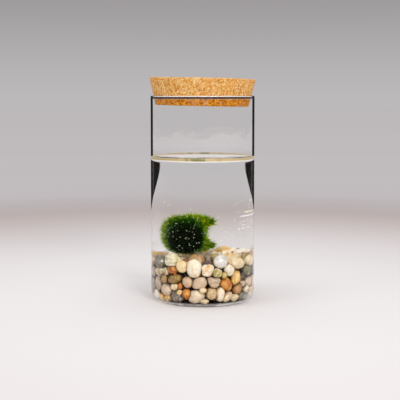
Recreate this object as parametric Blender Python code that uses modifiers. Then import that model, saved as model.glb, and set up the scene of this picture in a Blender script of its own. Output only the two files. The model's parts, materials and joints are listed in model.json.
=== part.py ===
"""A marimo moss ball in a corked glass jar of water, lying on a bed of mixed pebbles.

The jar stands on z = 0 with its axis on the z axis, and its front faces -Y.
"""
import math
import random

import bmesh
import bpy
from mathutils import Matrix, Vector

# All sizes are in millimetres and degrees, and become metres when a mesh is made
MM = 0.001
GAP = 0.3                     # between pieces that touch
FAR_AWAY = 1e6

# Glass jar
JAR_RADIUS = 32.5
JAR_HEIGHT = 128.0
JAR_WALL = 1.4
JAR_BASE = 2.5
JAR_FOOT = 5.0                # rounding of the outer bottom corner
JAR_HEEL = 3.6                # rounding of the inner bottom corner
JAR_BORE = JAR_RADIUS - JAR_WALL
JAR_SEGMENTS = 44

# Cork stopper, a cone pushed a little askew into the mouth
CORK_TOP = 138.8
CORK_LENGTH = 17.0
CORK_RIM_RADIUS = 30.7        # its radius at the height of the rim
CORK_TAPER = 0.22             # growth of the radius with height
CORK_EDGE = 0.8
CORK_TILT = 1.2
CORK_SEGMENTS = 36

# Water, whose solid is the clear column over the pebbles
WATER_LEVEL = 88.4
WATER_UNDERSIDE = 37.0
MENISCUS_RISE = 2.4
MENISCUS_WIDTH = 3.0
WATER_SEGMENTS = 36

# Moss ball, a loose tuft with two points on its right side
MOSS_CENTRE = Vector((-7.8, 0.0, 42.2))
MOSS_HALF = Vector((11.8, 11.6, 12.7))
MOSS_POINTS = (
    # direction in the x-z plane, growth beyond the ball, and half angle of the point
    (33.0, 6.0, 18.0),
    (-31.0, 5.2, 17.0),
)
MOSS_CLEARANCE = 0.6          # of the pocket in the water

# Beads and shell that lie on the pebbles
PEARL_RADIUS = 4.2
PEARL_CENTRE = Vector((10.3, -24.4, 27.6))
GREY_BEAD_HALF = (5.3, 4.1, 4.1)   # along the wall, up, and towards the axis
GREY_BEAD_AZIMUTH = -63.0
GREY_BEAD_HEIGHT = 25.7
SHELL_LENGTH = 21.0
SHELL_RADIUS = 4.7
SHELL_BASE = Vector((2.2, 11.0, 28.1))
SHELL_TURN = -6.0             # of its axis about z, from +X
SHELL_RISE = 4.0              # of its axis above level
SHELL_SHOULDER = 0.34         # place of its greatest width along its length
SHELL_WHORLS = 6.0
SHELL_GROOVE = 0.11
SHELL_BED = (0.42, 0.55)      # middle and half length of its hollow in the bed, of its length

# Colours
GLASS = (0.86, 0.90, 0.90)
CORK = (0.72, 0.43, 0.17)
WATER = (0.80, 0.88, 0.88)
MOSS = (0.10, 0.24, 0.02)
PEARL = (0.88, 0.86, 0.80)
GREY_GLASS = (0.30, 0.29, 0.22)
SHELL = (0.86, 0.70, 0.48)
CREAM = (0.80, 0.68, 0.50)
WHITE = (0.84, 0.79, 0.70)
QUARTZ = (0.70, 0.66, 0.42)
YELLOW = (0.78, 0.58, 0.28)
AMBER = (0.62, 0.27, 0.05)
RUST = (0.40, 0.12, 0.03)
TAN = (0.50, 0.36, 0.22)
BROWN = (0.30, 0.19, 0.09)
PINK = (0.62, 0.50, 0.42)
GREY = (0.48, 0.42, 0.37)
DARK = (0.14, 0.13, 0.12)
PLUM = (0.20, 0.15, 0.15)
OLIVE = (0.36, 0.33, 0.14)

# Pebbles against the glass and on top of the bed, from the front of the jar.
# Azimuth runs from the front towards +X. The half sizes are along the wall, up and towards
# the axis, and the tilt is anticlockwise seen from outside. The inset is the distance that
# a pebble keeps from the wall.
PEBBLES = (
    # name, azimuth, height, half sizes, tilt, inset, form, colour
    ("white_oval", -10.5, 23.2, (4.7, 5.8, 3.8), 8, 0, "round", WHITE),
    ("honey", -26.5, 24.3, (3.4, 3.7, 3.0), 0, 0, "round", YELLOW),
    ("rust", -38.5, 21.6, (4.1, 2.3, 3.0), -5, 0, "angular", RUST),
    ("cream_chip", -48.0, 20.6, (2.1, 2.5, 2.2), 0, 0, "angular", CREAM),
    ("cream_left", -61.0, 19.6, (5.2, 3.0, 3.2), 4, 0, "angular", CREAM),
    ("brown_bean", -36.0, 16.5, (5.6, 3.2, 3.6), 15, 0, "round", BROWN),
    ("tan_wedge_left", -50.5, 15.8, (2.5, 3.2, 2.6), 0, 0, "angular", TAN),
    ("grey_sliver", -63.5, 12.2, (3.3, 4.6, 3.2), 8, 0, "round", GREY),
    ("slate_left", -79.0, 10.0, (4.0, 4.6, 3.4), 0, 0, "round", GREY),
    ("slate_top_left", -80.0, 17.6, (4.0, 3.2, 3.2), 0, 0, "round", GREY),
    ("pink_lump", -48.5, 8.7, (4.9, 4.6, 3.8), 0, 0, "round", PINK),
    ("cream_step", -34.5, 11.8, (3.2, 2.1, 2.6), 5, 0, "angular", CREAM),
    ("orange_drop", -27.0, 12.7, (1.5, 2.2, 1.9), 0, 0, "angular", AMBER),
    ("yellow_drop", -28.0, 9.1, (1.8, 2.0, 1.8), 0, 0, "angular", YELLOW),
    ("round_tan", -18.5, 15.2, (3.6, 3.5, 3.2), 0, 0, "round", PINK),
    ("orange_wedge", -19.5, 8.1, (3.4, 3.4, 3.0), 0, 0, "wedge", AMBER),
    ("plum_left", -33.0, 6.1, (4.9, 3.7, 3.6), 0, 0, "angular", PLUM),
    ("cream_heel", -68.0, 5.4, (3.2, 2.2, 2.8), 0, 0, "round", CREAM),
    ("peach_heel", -57.0, 4.4, (2.8, 1.8, 2.6), 0, 0, "angular", YELLOW),
    ("tan_heel", -45.0, 4.4, (2.7, 1.8, 2.6), 0, 0, "angular", TAN),
    ("pale_dome", -8.0, 6.9, (5.6, 4.4, 4.0), -4, 0, "round", WHITE),
    ("pink_egg", -3.7, 14.9, (5.2, 4.0, 3.8), 25, 0, "round", PINK),
    ("cream_cube", 6.0, 22.8, (3.6, 3.9, 3.3), 0, 0, "angular", CREAM),
    ("pink_wedge", 13.8, 15.6, (4.5, 3.8, 3.5), -8, 0, "wedge", PINK),
    ("cream_knob", 17.8, 20.8, (3.1, 3.0, 2.8), 0, 0, "round", CREAM),
    ("white_egg", 34.0, 22.2, (3.6, 4.1, 3.2), 15, 0, "round", WHITE),
    ("olive_chip", 26.3, 19.2, (1.7, 2.2, 2.0), 0, 0, "angular", OLIVE),
    ("amber_bean", 29.3, 13.4, (3.9, 5.0, 3.6), 35, 0, "round", AMBER),
    ("yellow_tooth", 44.0, 16.7, (3.6, 4.9, 3.2), -15, 0, "angular", YELLOW),
    ("tan_bean", 46.0, 9.9, (3.1, 3.6, 2.9), -25, 0, "round", TAN),
    ("beige_right", 68.0, 12.6, (3.6, 3.8, 3.2), 0, 0, "angular", CREAM),
    ("pink_chip", 54.5, 12.8, (2.6, 2.1, 2.3), -15, 0, "angular", PINK),
    ("slate_right", 67.0, 19.6, (5.2, 3.4, 3.4), 0, 0, "round", DARK),
    ("plum_chip", 53.5, 17.2, (2.4, 2.3, 2.3), 0, 0, "round", PLUM),
    ("peach_slab", 46.0, 25.2, (6.4, 3.1, 3.7), -6, 0, "angular", CREAM),
    ("white_flake", 61.5, 8.4, (3.2, 2.1, 2.4), 25, 0, "angular", WHITE),
    ("slate_heel", 55.0, 5.4, (4.3, 2.8, 3.0), 0, 0, "round", DARK),
    ("cream_edge", 75.0, 6.4, (3.0, 3.2, 2.5), 10, 0, "angular", CREAM),
    ("cream_foot", 41.5, 5.1, (3.2, 2.4, 2.8), 0, 0, "round", CREAM),
    ("grey_bean", 31.0, 6.1, (2.6, 3.6, 2.7), -40, 0, "round", GREY),
    ("half_moon", 21.8, 8.1, (2.9, 4.9, 3.1), 0, 0, "round", WHITE),
    ("beige_round", 11.0, 8.7, (3.4, 3.7, 3.2), 0, 0, "round", TAN),
    ("white_chip", 0.8, 10.3, (2.3, 1.9, 2.0), 0, 0, "angular", CREAM),
    ("flat_foot", 1.8, 3.9, (3.0, 1.1, 2.4), 0, 0, "round", WHITE),
    ("beige_edge", 86.0, 10.8, (3.8, 4.4, 3.2), 0, 0, "round", PINK),
    ("peach_right", 76.0, 24.9, (4.4, 3.2, 3.5), 0, 0, "round", CREAM),
    ("quartz_nugget", -41.0, 27.2, (4.9, 4.1, 4.3), -8, 0.4, "angular", QUARTZ),
    ("tan_slab", -8.4, 26.5, (5.2, 3.9, 3.5), -12, 10.2, "round", TAN),
    ("grey_top", 10.0, 26.9, (3.1, 2.8, 3.0), 0, 12.0, "round", GREY),
    ("olive_top", 24.0, 28.7, (2.6, 2.4, 2.5), 0, 10.4, "angular", OLIVE),
    ("cream_top", 66.0, 26.7, (4.6, 3.0, 4.0), 0, 9.5, "angular", CREAM),
)

# The rest of the bed, one lumpy solid behind and under the pebbles above
FILL_CENTRE = Vector((0.0, 5.0, 13.5))
FILL_AXIS_Y = 4.0             # the pebbles push it back from this upright line
FILL_AXIS_LOW = 6.0
FILL_AXIS_HIGH = 17.0
FILL_LUMP = 4.6               # radius of its lumps
FILL_RINGS = ((7.7, 26.2), (14.8, 26.2), (21.6, 26.0), (23.4, 18.5), (24.2, 10.0))
FILL_BODY_RADIUS = 28.0       # of the even body that carries the lumps
FILL_BODY_TOP = 25.6
FILL_TOP = 23.8               # height of the middles of the lumps on its top
FILL_TOP_RADIUS = 24.0
FILL_TOP_COUNT = 26
FILL_ROOM = 1.9               # clearance of the hollows that the shell and the top pebbles lie in
FILL_HOLLOWS_FROM = 24.4      # height of the middle of a pebble that lies in such a hollow
FILL_SEGMENTS = 34
FILL_ROWS = 21

PEBBLE_SWELL = 1.20           # pebbles are drawn this much larger, and press on each other
PEBBLE_NEAR = 20.0            # only pebbles with middles nearer than this can touch
ROUND_POWER = 9.0             # how sharply the cuts of a pebble meet
CHIP_FLATS = (7, (0.74, 0.92))   # how many flats a chip has, and how deep they cut
ROUND_FLATS = (3, (0.90, 0.98))
WEDGE_SIDE = Vector((0.82, -0.57, 0.0))
WEDGE_SIDE_DEPTH = 0.62
WEDGE_TOP = Vector((0.1, 0.99, 0.1)).normalized()
WEDGE_TOP_DEPTH = 0.8
GOLDEN_ANGLE = math.pi * (3.0 - math.sqrt(5.0))


def remove_old_objects():
    for old in list(bpy.data.objects):
        bpy.data.objects.remove(old, do_unlink=True)


def new_collection(name):
    collection = bpy.data.collections.new(name)
    bpy.context.scene.collection.children.link(collection)
    return collection


def material(name, colour, roughness, metallic=0.0, transmission=0.0, ior=1.5):
    surface = bpy.data.materials.new(name)
    surface.use_nodes = True
    shader = surface.node_tree.nodes["Principled BSDF"]
    shader.inputs["Base Color"].default_value = (*colour, 1.0)
    shader.inputs["Roughness"].default_value = roughness
    shader.inputs["Metallic"].default_value = metallic
    shader.inputs["Transmission Weight"].default_value = transmission
    shader.inputs["IOR"].default_value = ior
    return surface


def add_object(name, mesh, surface, collection):
    mesh.materials.append(surface)
    piece = bpy.data.objects.new(name, mesh)
    collection.objects.link(piece)
    return piece


def mesh_from(name, shape, smooth=True):
    """Turns a bmesh in millimetres into a mesh in metres."""
    bmesh.ops.scale(shape, vec=(MM, MM, MM), verts=shape.verts)
    mesh = bpy.data.meshes.new(name)
    shape.to_mesh(mesh)
    shape.free()
    if smooth:
        mesh.shade_smooth()
        mesh.set_sharp_from_angle(angle=math.radians(50.0))
    return mesh


def arc(centre_x, centre_z, radius, start, end, steps):
    """Points on an arc in the x-z plane, between two angles from +X."""
    points = []
    for step in range(steps + 1):
        angle = math.radians(start + (end - start) * step / steps)
        points.append((centre_x + radius * math.cos(angle), centre_z + radius * math.sin(angle)))
    return points


def turned(name, profile, segments, surface, collection):
    """Turns a profile about the z axis. It runs down the outer side."""
    shape = bmesh.new()
    corners = [shape.verts.new((x, 0.0, z)) for x, z in profile]
    for first, second in zip(corners, corners[1:]):
        shape.edges.new((first, second))
    piece = add_object(name, mesh_from(name, shape, smooth=False), surface, collection)
    screw = piece.modifiers.new("Turn", "SCREW")
    screw.axis = "Z"
    screw.steps = segments
    screw.render_steps = segments
    screw.use_merge_vertices = True
    screw.merge_threshold = 0.00001
    screw.use_smooth_shade = True
    return piece


def make_jar(collection):
    heel_x = JAR_BORE - JAR_HEEL
    heel_z = JAR_BASE + JAR_HEEL
    rim = JAR_WALL / 2.0
    profile = [(0.0, JAR_BASE)]
    profile += arc(heel_x, heel_z, JAR_HEEL, -90.0, 0.0, 4)
    profile += arc(JAR_BORE + rim, JAR_HEIGHT - rim, rim, 180.0, 0.0, 4)
    profile += arc(JAR_RADIUS - JAR_FOOT, JAR_FOOT, JAR_FOOT, 0.0, -90.0, 5)
    profile += [(0.0, 0.0)]
    glass = material("glass", GLASS, 0.02, transmission=1.0, ior=1.47)
    return turned("glass_jar", profile, JAR_SEGMENTS, glass, collection)


def cork_radius(height):
    return CORK_RIM_RADIUS + CORK_TAPER * (height - JAR_HEIGHT)


def make_stopper(collection):
    top = cork_radius(CORK_TOP)
    bottom = cork_radius(CORK_TOP - CORK_LENGTH)
    profile = [
        (0.0, 0.0),
        (top - CORK_EDGE, 0.0),
        (top, -CORK_EDGE),
        ((top + bottom) / 2.0, -CORK_LENGTH / 2.0),
        (bottom, CORK_EDGE - CORK_LENGTH),
        (bottom - CORK_EDGE, -CORK_LENGTH),
        (0.0, -CORK_LENGTH),
    ]
    cork = material("cork", CORK, 0.85)
    stopper = turned("cork_stopper", profile, CORK_SEGMENTS, cork, collection)
    stopper.location = (0.0, 0.0, CORK_TOP * MM)
    stopper.rotation_euler = (0.0, math.radians(CORK_TILT), 0.0)
    return stopper


def moss_reach(direction, clearance=0.0):
    """Distance from the moss ball's middle to its surface in a direction."""
    gauge = Vector([part / half for part, half in zip(direction, MOSS_HALF)]).length
    reach = 1.0 / gauge
    for angle, growth, spread in MOSS_POINTS:
        turn = math.radians(angle)
        point = Vector((math.cos(turn), 0.0, math.sin(turn)))
        away = math.degrees(direction.angle(point)) / spread
        reach += growth * math.exp(-away * away)
    return reach + clearance


def moss_shape(clearance=0.0):
    shape = bmesh.new()
    bmesh.ops.create_uvsphere(shape, u_segments=26, v_segments=16, radius=1.0)
    for vertex in shape.verts:
        direction = vertex.co.normalized()
        vertex.co = MOSS_CENTRE + direction * moss_reach(direction, clearance)
    return shape


def make_moss(collection):
    moss = material("moss", MOSS, 0.9)
    return add_object("moss_ball", mesh_from("moss_ball", moss_shape()), moss, collection)


def make_water(collection, cutters):
    radius = JAR_BORE - GAP
    profile = [
        (0.0, WATER_LEVEL),
        (radius - MENISCUS_WIDTH, WATER_LEVEL),
        (radius - 0.5 * MENISCUS_WIDTH, WATER_LEVEL + 0.12 * MENISCUS_RISE),
        (radius - 0.2 * MENISCUS_WIDTH, WATER_LEVEL + 0.45 * MENISCUS_RISE),
        (radius, WATER_LEVEL + MENISCUS_RISE),
        (radius, WATER_UNDERSIDE),
        (0.0, WATER_UNDERSIDE),
    ]
    clear = material("water", WATER, 0.0, transmission=1.0, ior=1.33)
    water = turned("water", profile, WATER_SEGMENTS, clear, collection)
    pocket_mesh = mesh_from("moss_pocket", moss_shape(MOSS_CLEARANCE))
    pocket = bpy.data.objects.new("moss_pocket", pocket_mesh)
    cutters.objects.link(pocket)
    pocket.hide_render = True
    pocket.display_type = "WIRE"
    cut = water.modifiers.new("Pocket", "BOOLEAN")
    cut.operation = "DIFFERENCE"
    cut.solver = "EXACT"
    cut.object = pocket
    return water


def make_bead(name, blob, surface, collection):
    shape = bmesh.new()
    bmesh.ops.create_uvsphere(shape, u_segments=16, v_segments=10, radius=1.0)
    bmesh.ops.scale(shape, vec=blob.halves, verts=shape.verts)
    place = Matrix.Translation(blob.centre) @ blob.turn.to_4x4()
    bmesh.ops.transform(shape, matrix=place, verts=shape.verts)
    return add_object(name, mesh_from(name, shape), surface, collection)


def shell_frame():
    return (
        Matrix.Translation(SHELL_BASE)
        @ Matrix.Rotation(math.radians(SHELL_TURN), 4, "Z")
        @ Matrix.Rotation(math.radians(90.0 - SHELL_RISE), 4, "Y")
    )


def shell_radius(along, around):
    """Radius of the turret, with a groove that winds round it towards the tip."""
    if along < SHELL_SHOULDER:
        taper = SHELL_RADIUS * math.sin(0.5 * math.pi * along / SHELL_SHOULDER) ** 0.75
    else:
        taper = SHELL_RADIUS * ((1.0 - along) / (1.0 - SHELL_SHOULDER)) ** 0.9
    winding = SHELL_WHORLS * (1.0 - (1.0 - along) ** 1.35) + around / math.tau
    bulge = abs(math.sin(math.pi * winding)) ** 0.6
    return taper * (1.0 - SHELL_GROOVE + SHELL_GROOVE * bulge)


def make_shell(collection):
    shape = bmesh.new()
    bmesh.ops.create_uvsphere(shape, u_segments=12, v_segments=24, radius=1.0)
    for vertex in shape.verts:
        polar = math.acos(max(-1.0, min(1.0, -vertex.co.z)))
        along = polar / math.pi
        around = math.atan2(vertex.co.y, vertex.co.x)
        radius = shell_radius(along, around) if 0.0 < along < 1.0 else 0.0
        if radius:
            vertex.co = (radius * math.cos(around), radius * math.sin(around), along * SHELL_LENGTH)
        else:
            vertex.co = (0.0, 0.0, round(along) * SHELL_LENGTH)
    bmesh.ops.transform(shape, matrix=shell_frame(), verts=shape.verts)
    nacre = material("shell", SHELL, 0.45)
    return add_object("sea_shell", mesh_from("sea_shell", shape), nacre, collection)


class Blob:
    """A rounded form by its middle and half sizes, used to part neighbours by planes."""

    def __init__(self, centre, turn, halves):
        self.centre = centre
        self.turn = turn
        self.halves = Vector(halves)
        stretch = Matrix.Diagonal([half * half for half in halves])
        self.spread = turn @ stretch @ turn.transposed()

    def reach(self, normal):
        return math.sqrt(normal.dot(self.spread @ normal))

    def scaled(self, vector):
        """The vector in axes in which the form is a sphere of radius 1."""
        local = self.turn.transposed() @ vector
        return Vector([part / half for part, half in zip(local, self.halves)])

    def gauge(self, direction):
        return self.scaled(direction).length

    def entry(self, start, direction):
        """How far a ray runs before it enters the form, or far away if it misses."""
        offset = self.scaled(self.centre - start)
        run = self.scaled(direction)
        along = offset.dot(run) / run.length_squared
        square = along * along - (offset.length_squared - 1.0) / run.length_squared
        return along - math.sqrt(square) if square > 0.0 and along > 0.0 else FAR_AWAY


def wall_frame(azimuth, tilt):
    """Axes along the wall, up and out through it, tilted about the last."""
    angle = math.radians(azimuth)
    along = Vector((math.cos(angle), math.sin(angle), 0.0))
    up = Vector((0.0, 0.0, 1.0))
    outward = along.cross(up)
    turn = Matrix((along, up, outward)).transposed()
    return Matrix.Rotation(math.radians(tilt), 3, outward) @ turn


def wall_blob(azimuth, height, halves, tilt=0.0, inset=0.0):
    """A form that touches the jar's wall, or keeps the inset from it."""
    angle = math.radians(azimuth)
    radius = JAR_BORE - GAP - halves[2] - inset
    centre = Vector((radius * math.sin(angle), -radius * math.cos(angle), height))
    return Blob(centre, wall_frame(azimuth, tilt), halves)


def pebble_blob(azimuth, height, halves, tilt, inset):
    swollen = [half * PEBBLE_SWELL for half in halves]
    return wall_blob(azimuth, height, swollen, tilt, inset)


def pearl_blob():
    return Blob(PEARL_CENTRE, Matrix.Identity(3), [PEARL_RADIUS] * 3)


def grey_bead_blob():
    return wall_blob(GREY_BEAD_AZIMUTH, GREY_BEAD_HEIGHT, GREY_BEAD_HALF)


def shell_blob(room=0.0):
    """The form round the shell, or one that is larger by some room."""
    middle, half = [share * SHELL_LENGTH for share in SHELL_BED]
    halves = [size + room for size in (SHELL_RADIUS, SHELL_RADIUS, half)]
    return Blob(shell_frame() @ Vector((0.0, 0.0, middle)), shell_frame().to_3x3(), halves)


def moss_blob():
    return Blob(MOSS_CENTRE, Matrix.Identity(3), MOSS_HALF)


def fixed_blobs():
    """The things on the bed, which press into it and aren't cut by it."""
    return [moss_blob(), shell_blob(), pearl_blob(), grey_bead_blob()]


def parting_plane(blob, other, fixed):
    """Normal and distance of the plane that keeps a blob clear of its neighbour."""
    between = other.centre - blob.centre
    normal = ((blob.spread + other.spread).inverted() @ between).normalized()
    own = blob.reach(normal)
    theirs = other.reach(normal)
    room = normal.dot(between) - GAP - own - theirs
    if room >= 0.0:
        return normal, own
    return normal, own + (room if fixed else room / 2.0)


def jar_planes(centre):
    """Planes of the floor and of the rounded heel of the jar's inside."""
    outward = Vector((centre.x, centre.y, 0.0)).normalized()
    heel = outward * (JAR_BORE - JAR_HEEL) + Vector((0.0, 0.0, JAR_BASE + JAR_HEEL))
    planes = []
    for dip in (22.5, 45.0, 67.5, 90.0):
        angle = math.radians(dip)
        normal = outward * math.cos(angle) + Vector((0.0, 0.0, -math.sin(angle)))
        planes.append((normal, normal.dot(heel - centre) + JAR_HEEL - GAP))
    return planes


def wall_distance(centre, direction, radius=JAR_BORE - GAP):
    """How far a ray from a point inside the jar runs before it meets the wall."""
    level = direction.x ** 2 + direction.y ** 2
    if level < 1e-9:
        return FAR_AWAY
    along = centre.x * direction.x + centre.y * direction.y
    room = radius ** 2 - centre.x ** 2 - centre.y ** 2
    return (math.sqrt(along * along + level * room) - along) / level


def form_planes(blob, form, rng):
    """Flats that make a worn chip or a wedge out of a rounded pebble."""
    planes = []
    if form == "wedge":
        for side in (-1.0, 1.0):
            normal = blob.turn @ Vector((side * WEDGE_SIDE.x, WEDGE_SIDE.y, 0.0)).normalized()
            planes.append((normal, WEDGE_SIDE_DEPTH * blob.reach(normal)))
        normal = blob.turn @ WEDGE_TOP
        planes.append((normal, WEDGE_TOP_DEPTH * blob.reach(normal)))
    count, depth = CHIP_FLATS if form == "angular" else ROUND_FLATS
    for _ in range(count):
        normal = Vector([rng.gauss(0.0, 1.0) for _ in range(3)]).normalized()
        planes.append((normal, rng.uniform(*depth) * blob.reach(normal)))
    return planes


def pebble_mesh(name, blob, planes):
    ball = bmesh.new()
    bmesh.ops.create_icosphere(ball, subdivisions=2, radius=1.0)
    shape = bmesh.new()
    for vertex in ball.verts:
        direction = vertex.co.normalized()
        total = blob.gauge(direction) ** ROUND_POWER
        total += (1.0 / wall_distance(blob.centre, direction)) ** ROUND_POWER
        for normal, distance in planes:
            facing = normal.dot(direction)
            if facing > 0.0:
                total += (facing / distance) ** ROUND_POWER
        shape.verts.new(blob.centre + direction / total ** (1.0 / ROUND_POWER))
    ball.free()
    bmesh.ops.convex_hull(shape, input=shape.verts)
    loose = [vertex for vertex in shape.verts if not vertex.link_faces]
    bmesh.ops.delete(shape, geom=loose, context="VERTS")
    bmesh.ops.recalc_face_normals(shape, faces=shape.faces)
    return mesh_from(name, shape, smooth=False)


def make_pebbles(collection):
    blobs = [pebble_blob(*row[1:6]) for row in PEBBLES]
    for number, (row, blob) in enumerate(zip(PEBBLES, blobs)):
        rng = random.Random(number)
        planes = jar_planes(blob.centre) + form_planes(blob, row[6], rng)
        for other in blobs:
            if other is not blob and (other.centre - blob.centre).length < PEBBLE_NEAR:
                planes.append(parting_plane(blob, other, fixed=False))
        for other in fixed_blobs():
            planes.append(parting_plane(blob, other, fixed=True))
        name = row[0] + "_pebble"
        stone = material(name, row[7], 0.4)
        add_object(name, pebble_mesh(name, blob, planes), stone, collection)
    return blobs


def fill_lumps():
    """Middles of the lumps, spread over the top and the back of the bed."""
    middles = []
    for ring, (height, radius) in enumerate(FILL_RINGS):
        count = round(math.tau * radius / (2.0 * FILL_LUMP))
        for step in range(count):
            angle = math.tau * (step + 0.5 * (ring % 2)) / count
            middles.append(Vector((radius * math.cos(angle), radius * math.sin(angle), height)))
    for step in range(FILL_TOP_COUNT):
        radius = FILL_TOP_RADIUS * math.sqrt((step + 0.5) / FILL_TOP_COUNT)
        angle = GOLDEN_ANGLE * step
        middles.append(Vector((radius * math.cos(angle), radius * math.sin(angle), FILL_TOP)))
    return middles


def sphere_exit(start, direction, middle, radius):
    """Where a ray leaves a sphere, or 0 if it misses."""
    offset = middle - start
    along = offset.dot(direction)
    square = radius * radius - offset.length_squared + along * along
    return along + math.sqrt(square) if square > 0.0 and along > 0.0 else 0.0


def fill_hollows(blobs):
    """Larger forms round the shell and the top pebbles, which the fill stays out of."""
    hollows = [shell_blob(FILL_ROOM)]
    for blob in blobs:
        if blob.centre.z > FILL_HOLLOWS_FROM:
            halves = [half + FILL_ROOM for half in blob.halves]
            hollows.append(Blob(blob.centre, blob.turn, halves))
    return hollows


def fill_planes(blobs):
    floor = Vector((0.0, 0.0, -1.0))
    planes = [(floor, FILL_CENTRE.z - JAR_BASE - GAP)]
    low_blobs = [blob for blob in blobs if blob.centre.z <= FILL_HOLLOWS_FROM]
    for blob in low_blobs + [moss_blob(), pearl_blob(), grey_bead_blob()]:
        level = max(FILL_AXIS_LOW, min(FILL_AXIS_HIGH, blob.centre.z))
        axis = Vector((0.0, FILL_AXIS_Y, level))
        normal = (blob.centre - axis).normalized()
        limit = normal.dot(blob.centre) - blob.reach(normal) - GAP
        planes.append((normal, limit - normal.dot(FILL_CENTRE)))
    return planes


def body_exit(direction):
    """Where a ray from the middle leaves the even body under the lumps."""
    side = wall_distance(FILL_CENTRE, direction, FILL_BODY_RADIUS)
    if direction.z <= 0.0:
        return side
    return min(side, (FILL_BODY_TOP - FILL_CENTRE.z) / direction.z)


def make_fill(blobs, collection):
    lumps = fill_lumps()
    planes = fill_planes(blobs)
    hollows = fill_hollows(blobs)
    shape = bmesh.new()
    bmesh.ops.create_uvsphere(shape, u_segments=FILL_SEGMENTS, v_segments=FILL_ROWS, radius=1.0)
    for vertex in shape.verts:
        direction = vertex.co.normalized()
        reach = max([sphere_exit(FILL_CENTRE, direction, lump, FILL_LUMP) for lump in lumps])
        reach = max(reach, body_exit(direction))
        reach = min(reach, wall_distance(FILL_CENTRE, direction))
        reach = min([reach] + [hollow.entry(FILL_CENTRE, direction) for hollow in hollows])
        for normal, distance in planes:
            facing = normal.dot(direction)
            if facing > 0.0:
                reach = min(reach, distance / facing)
        vertex.co = FILL_CENTRE + direction * reach
    stones = material("gravel", TAN, 0.45)
    return add_object("gravel_fill", mesh_from("gravel_fill", shape), stones, collection)


def main():
    remove_old_objects()
    parts = new_collection("marimo_moss_jar")
    cutters = new_collection("cutters")
    make_jar(parts)
    make_stopper(parts)
    make_moss(parts)
    make_water(parts, cutters)
    pearl = material("pearl", PEARL, 0.25)
    make_bead("pearl_bead", pearl_blob(), pearl, parts)
    grey_glass = material("grey_glass", GREY_GLASS, 0.1)
    make_bead("grey_bead", grey_bead_blob(), grey_glass, parts)
    make_shell(parts)
    blobs = make_pebbles(parts)
    make_fill(blobs, parts)


main()
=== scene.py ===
"""The looks of a marimo moss ball in its corked jar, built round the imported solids.

Sizes are in metres and angles in degrees. The jar's axis is the z axis and its front faces -Y.
"""

import json
import math
import random

import bmesh
import bpy
import numpy as np
from mathutils import Matrix, Vector, noise


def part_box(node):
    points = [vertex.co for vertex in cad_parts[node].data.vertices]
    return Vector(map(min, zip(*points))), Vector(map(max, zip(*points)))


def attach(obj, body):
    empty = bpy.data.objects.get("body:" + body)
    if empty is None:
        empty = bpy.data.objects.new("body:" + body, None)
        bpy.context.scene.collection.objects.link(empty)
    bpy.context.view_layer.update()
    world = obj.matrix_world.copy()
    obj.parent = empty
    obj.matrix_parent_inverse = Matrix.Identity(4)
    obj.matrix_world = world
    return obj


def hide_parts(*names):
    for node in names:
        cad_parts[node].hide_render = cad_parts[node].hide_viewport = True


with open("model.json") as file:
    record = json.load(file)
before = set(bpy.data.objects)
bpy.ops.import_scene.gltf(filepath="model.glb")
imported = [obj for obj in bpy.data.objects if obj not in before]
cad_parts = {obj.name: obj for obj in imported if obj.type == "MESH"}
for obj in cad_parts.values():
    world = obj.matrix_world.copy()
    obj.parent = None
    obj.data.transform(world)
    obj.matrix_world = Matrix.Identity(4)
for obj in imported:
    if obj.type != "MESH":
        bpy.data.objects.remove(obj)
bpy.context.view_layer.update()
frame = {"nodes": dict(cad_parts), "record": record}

MM = 0.001

# The jar, as its solid has it
JAR_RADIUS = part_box("glass_jar")[1].x
JAR_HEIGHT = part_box("glass_jar")[1].z
JAR_WALL = 1.4 * MM
JAR_BASE = 2.5 * MM
JAR_FOOT = 5.0 * MM            # rounding of the outer bottom corner
JAR_HEEL = 3.6 * MM            # rounding of the inner bottom corner
JAR_BORE = JAR_RADIUS - JAR_WALL
WALL_ROWS = 80
JAR_SEGMENTS = 192
CLEAR_GLASS = (0.985, 0.99, 0.985)
DARK_EDGE = (
    # height, and how far the wall has turned from the viewer, from 0 to 1, where its painted dark edge
    # starts
    (56.0 * MM, 1.0), (57.4 * MM, 0.876), (60.5 * MM, 0.795), (65.0 * MM, 0.712), (68.8 * MM, 0.624),
    (73.2 * MM, 0.548), (77.6 * MM, 0.485), (81.4 * MM, 0.440), (84.6 * MM, 0.420), (87.9 * MM, 0.420),
    (88.1 * MM, 1.0), (90.4 * MM, 1.0), (90.8 * MM, 0.70),
)
PAINTED_GLEAM_STREAKS = (
    # height, half its thickness, strength, and evenness along it, of the painted highlights on the right
    # wall
    (54.9 * MM, 0.55 * MM, 0.90, 0.8), (57.2 * MM, 0.65 * MM, 0.80, 0.0), (51.6 * MM, 0.4 * MM, 0.40, 0.2),
    (49.5 * MM, 0.4 * MM, 0.45, 0.1), (47.5 * MM, 0.5 * MM, 0.60, 0.3),
)
FILM_LOW = 93.0 * MM           # a faint film of damp on the glass, over the water
FILM_HIGH = 105.0 * MM
FILM_WAVE = 26.0 * MM          # of its upper edge

# The stopper, a cone that sits a little askew
CORK_TOP = 138.8 * MM
CORK_LENGTH = 17.0 * MM
CORK_RIM_RADIUS = 30.7 * MM
CORK_TAPER = 0.22
CORK_EDGE = 0.8 * MM
CORK_TILT = 1.2
CORK_PIT = 0.45 * MM           # depth of its deepest pits
CORK_SEGMENTS = 300
CORK_ROWS = 44
CORK_GRANULE = 0.95 * MM
CORK_BARK = 1.6 * MM           # size of its dark specks

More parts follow.
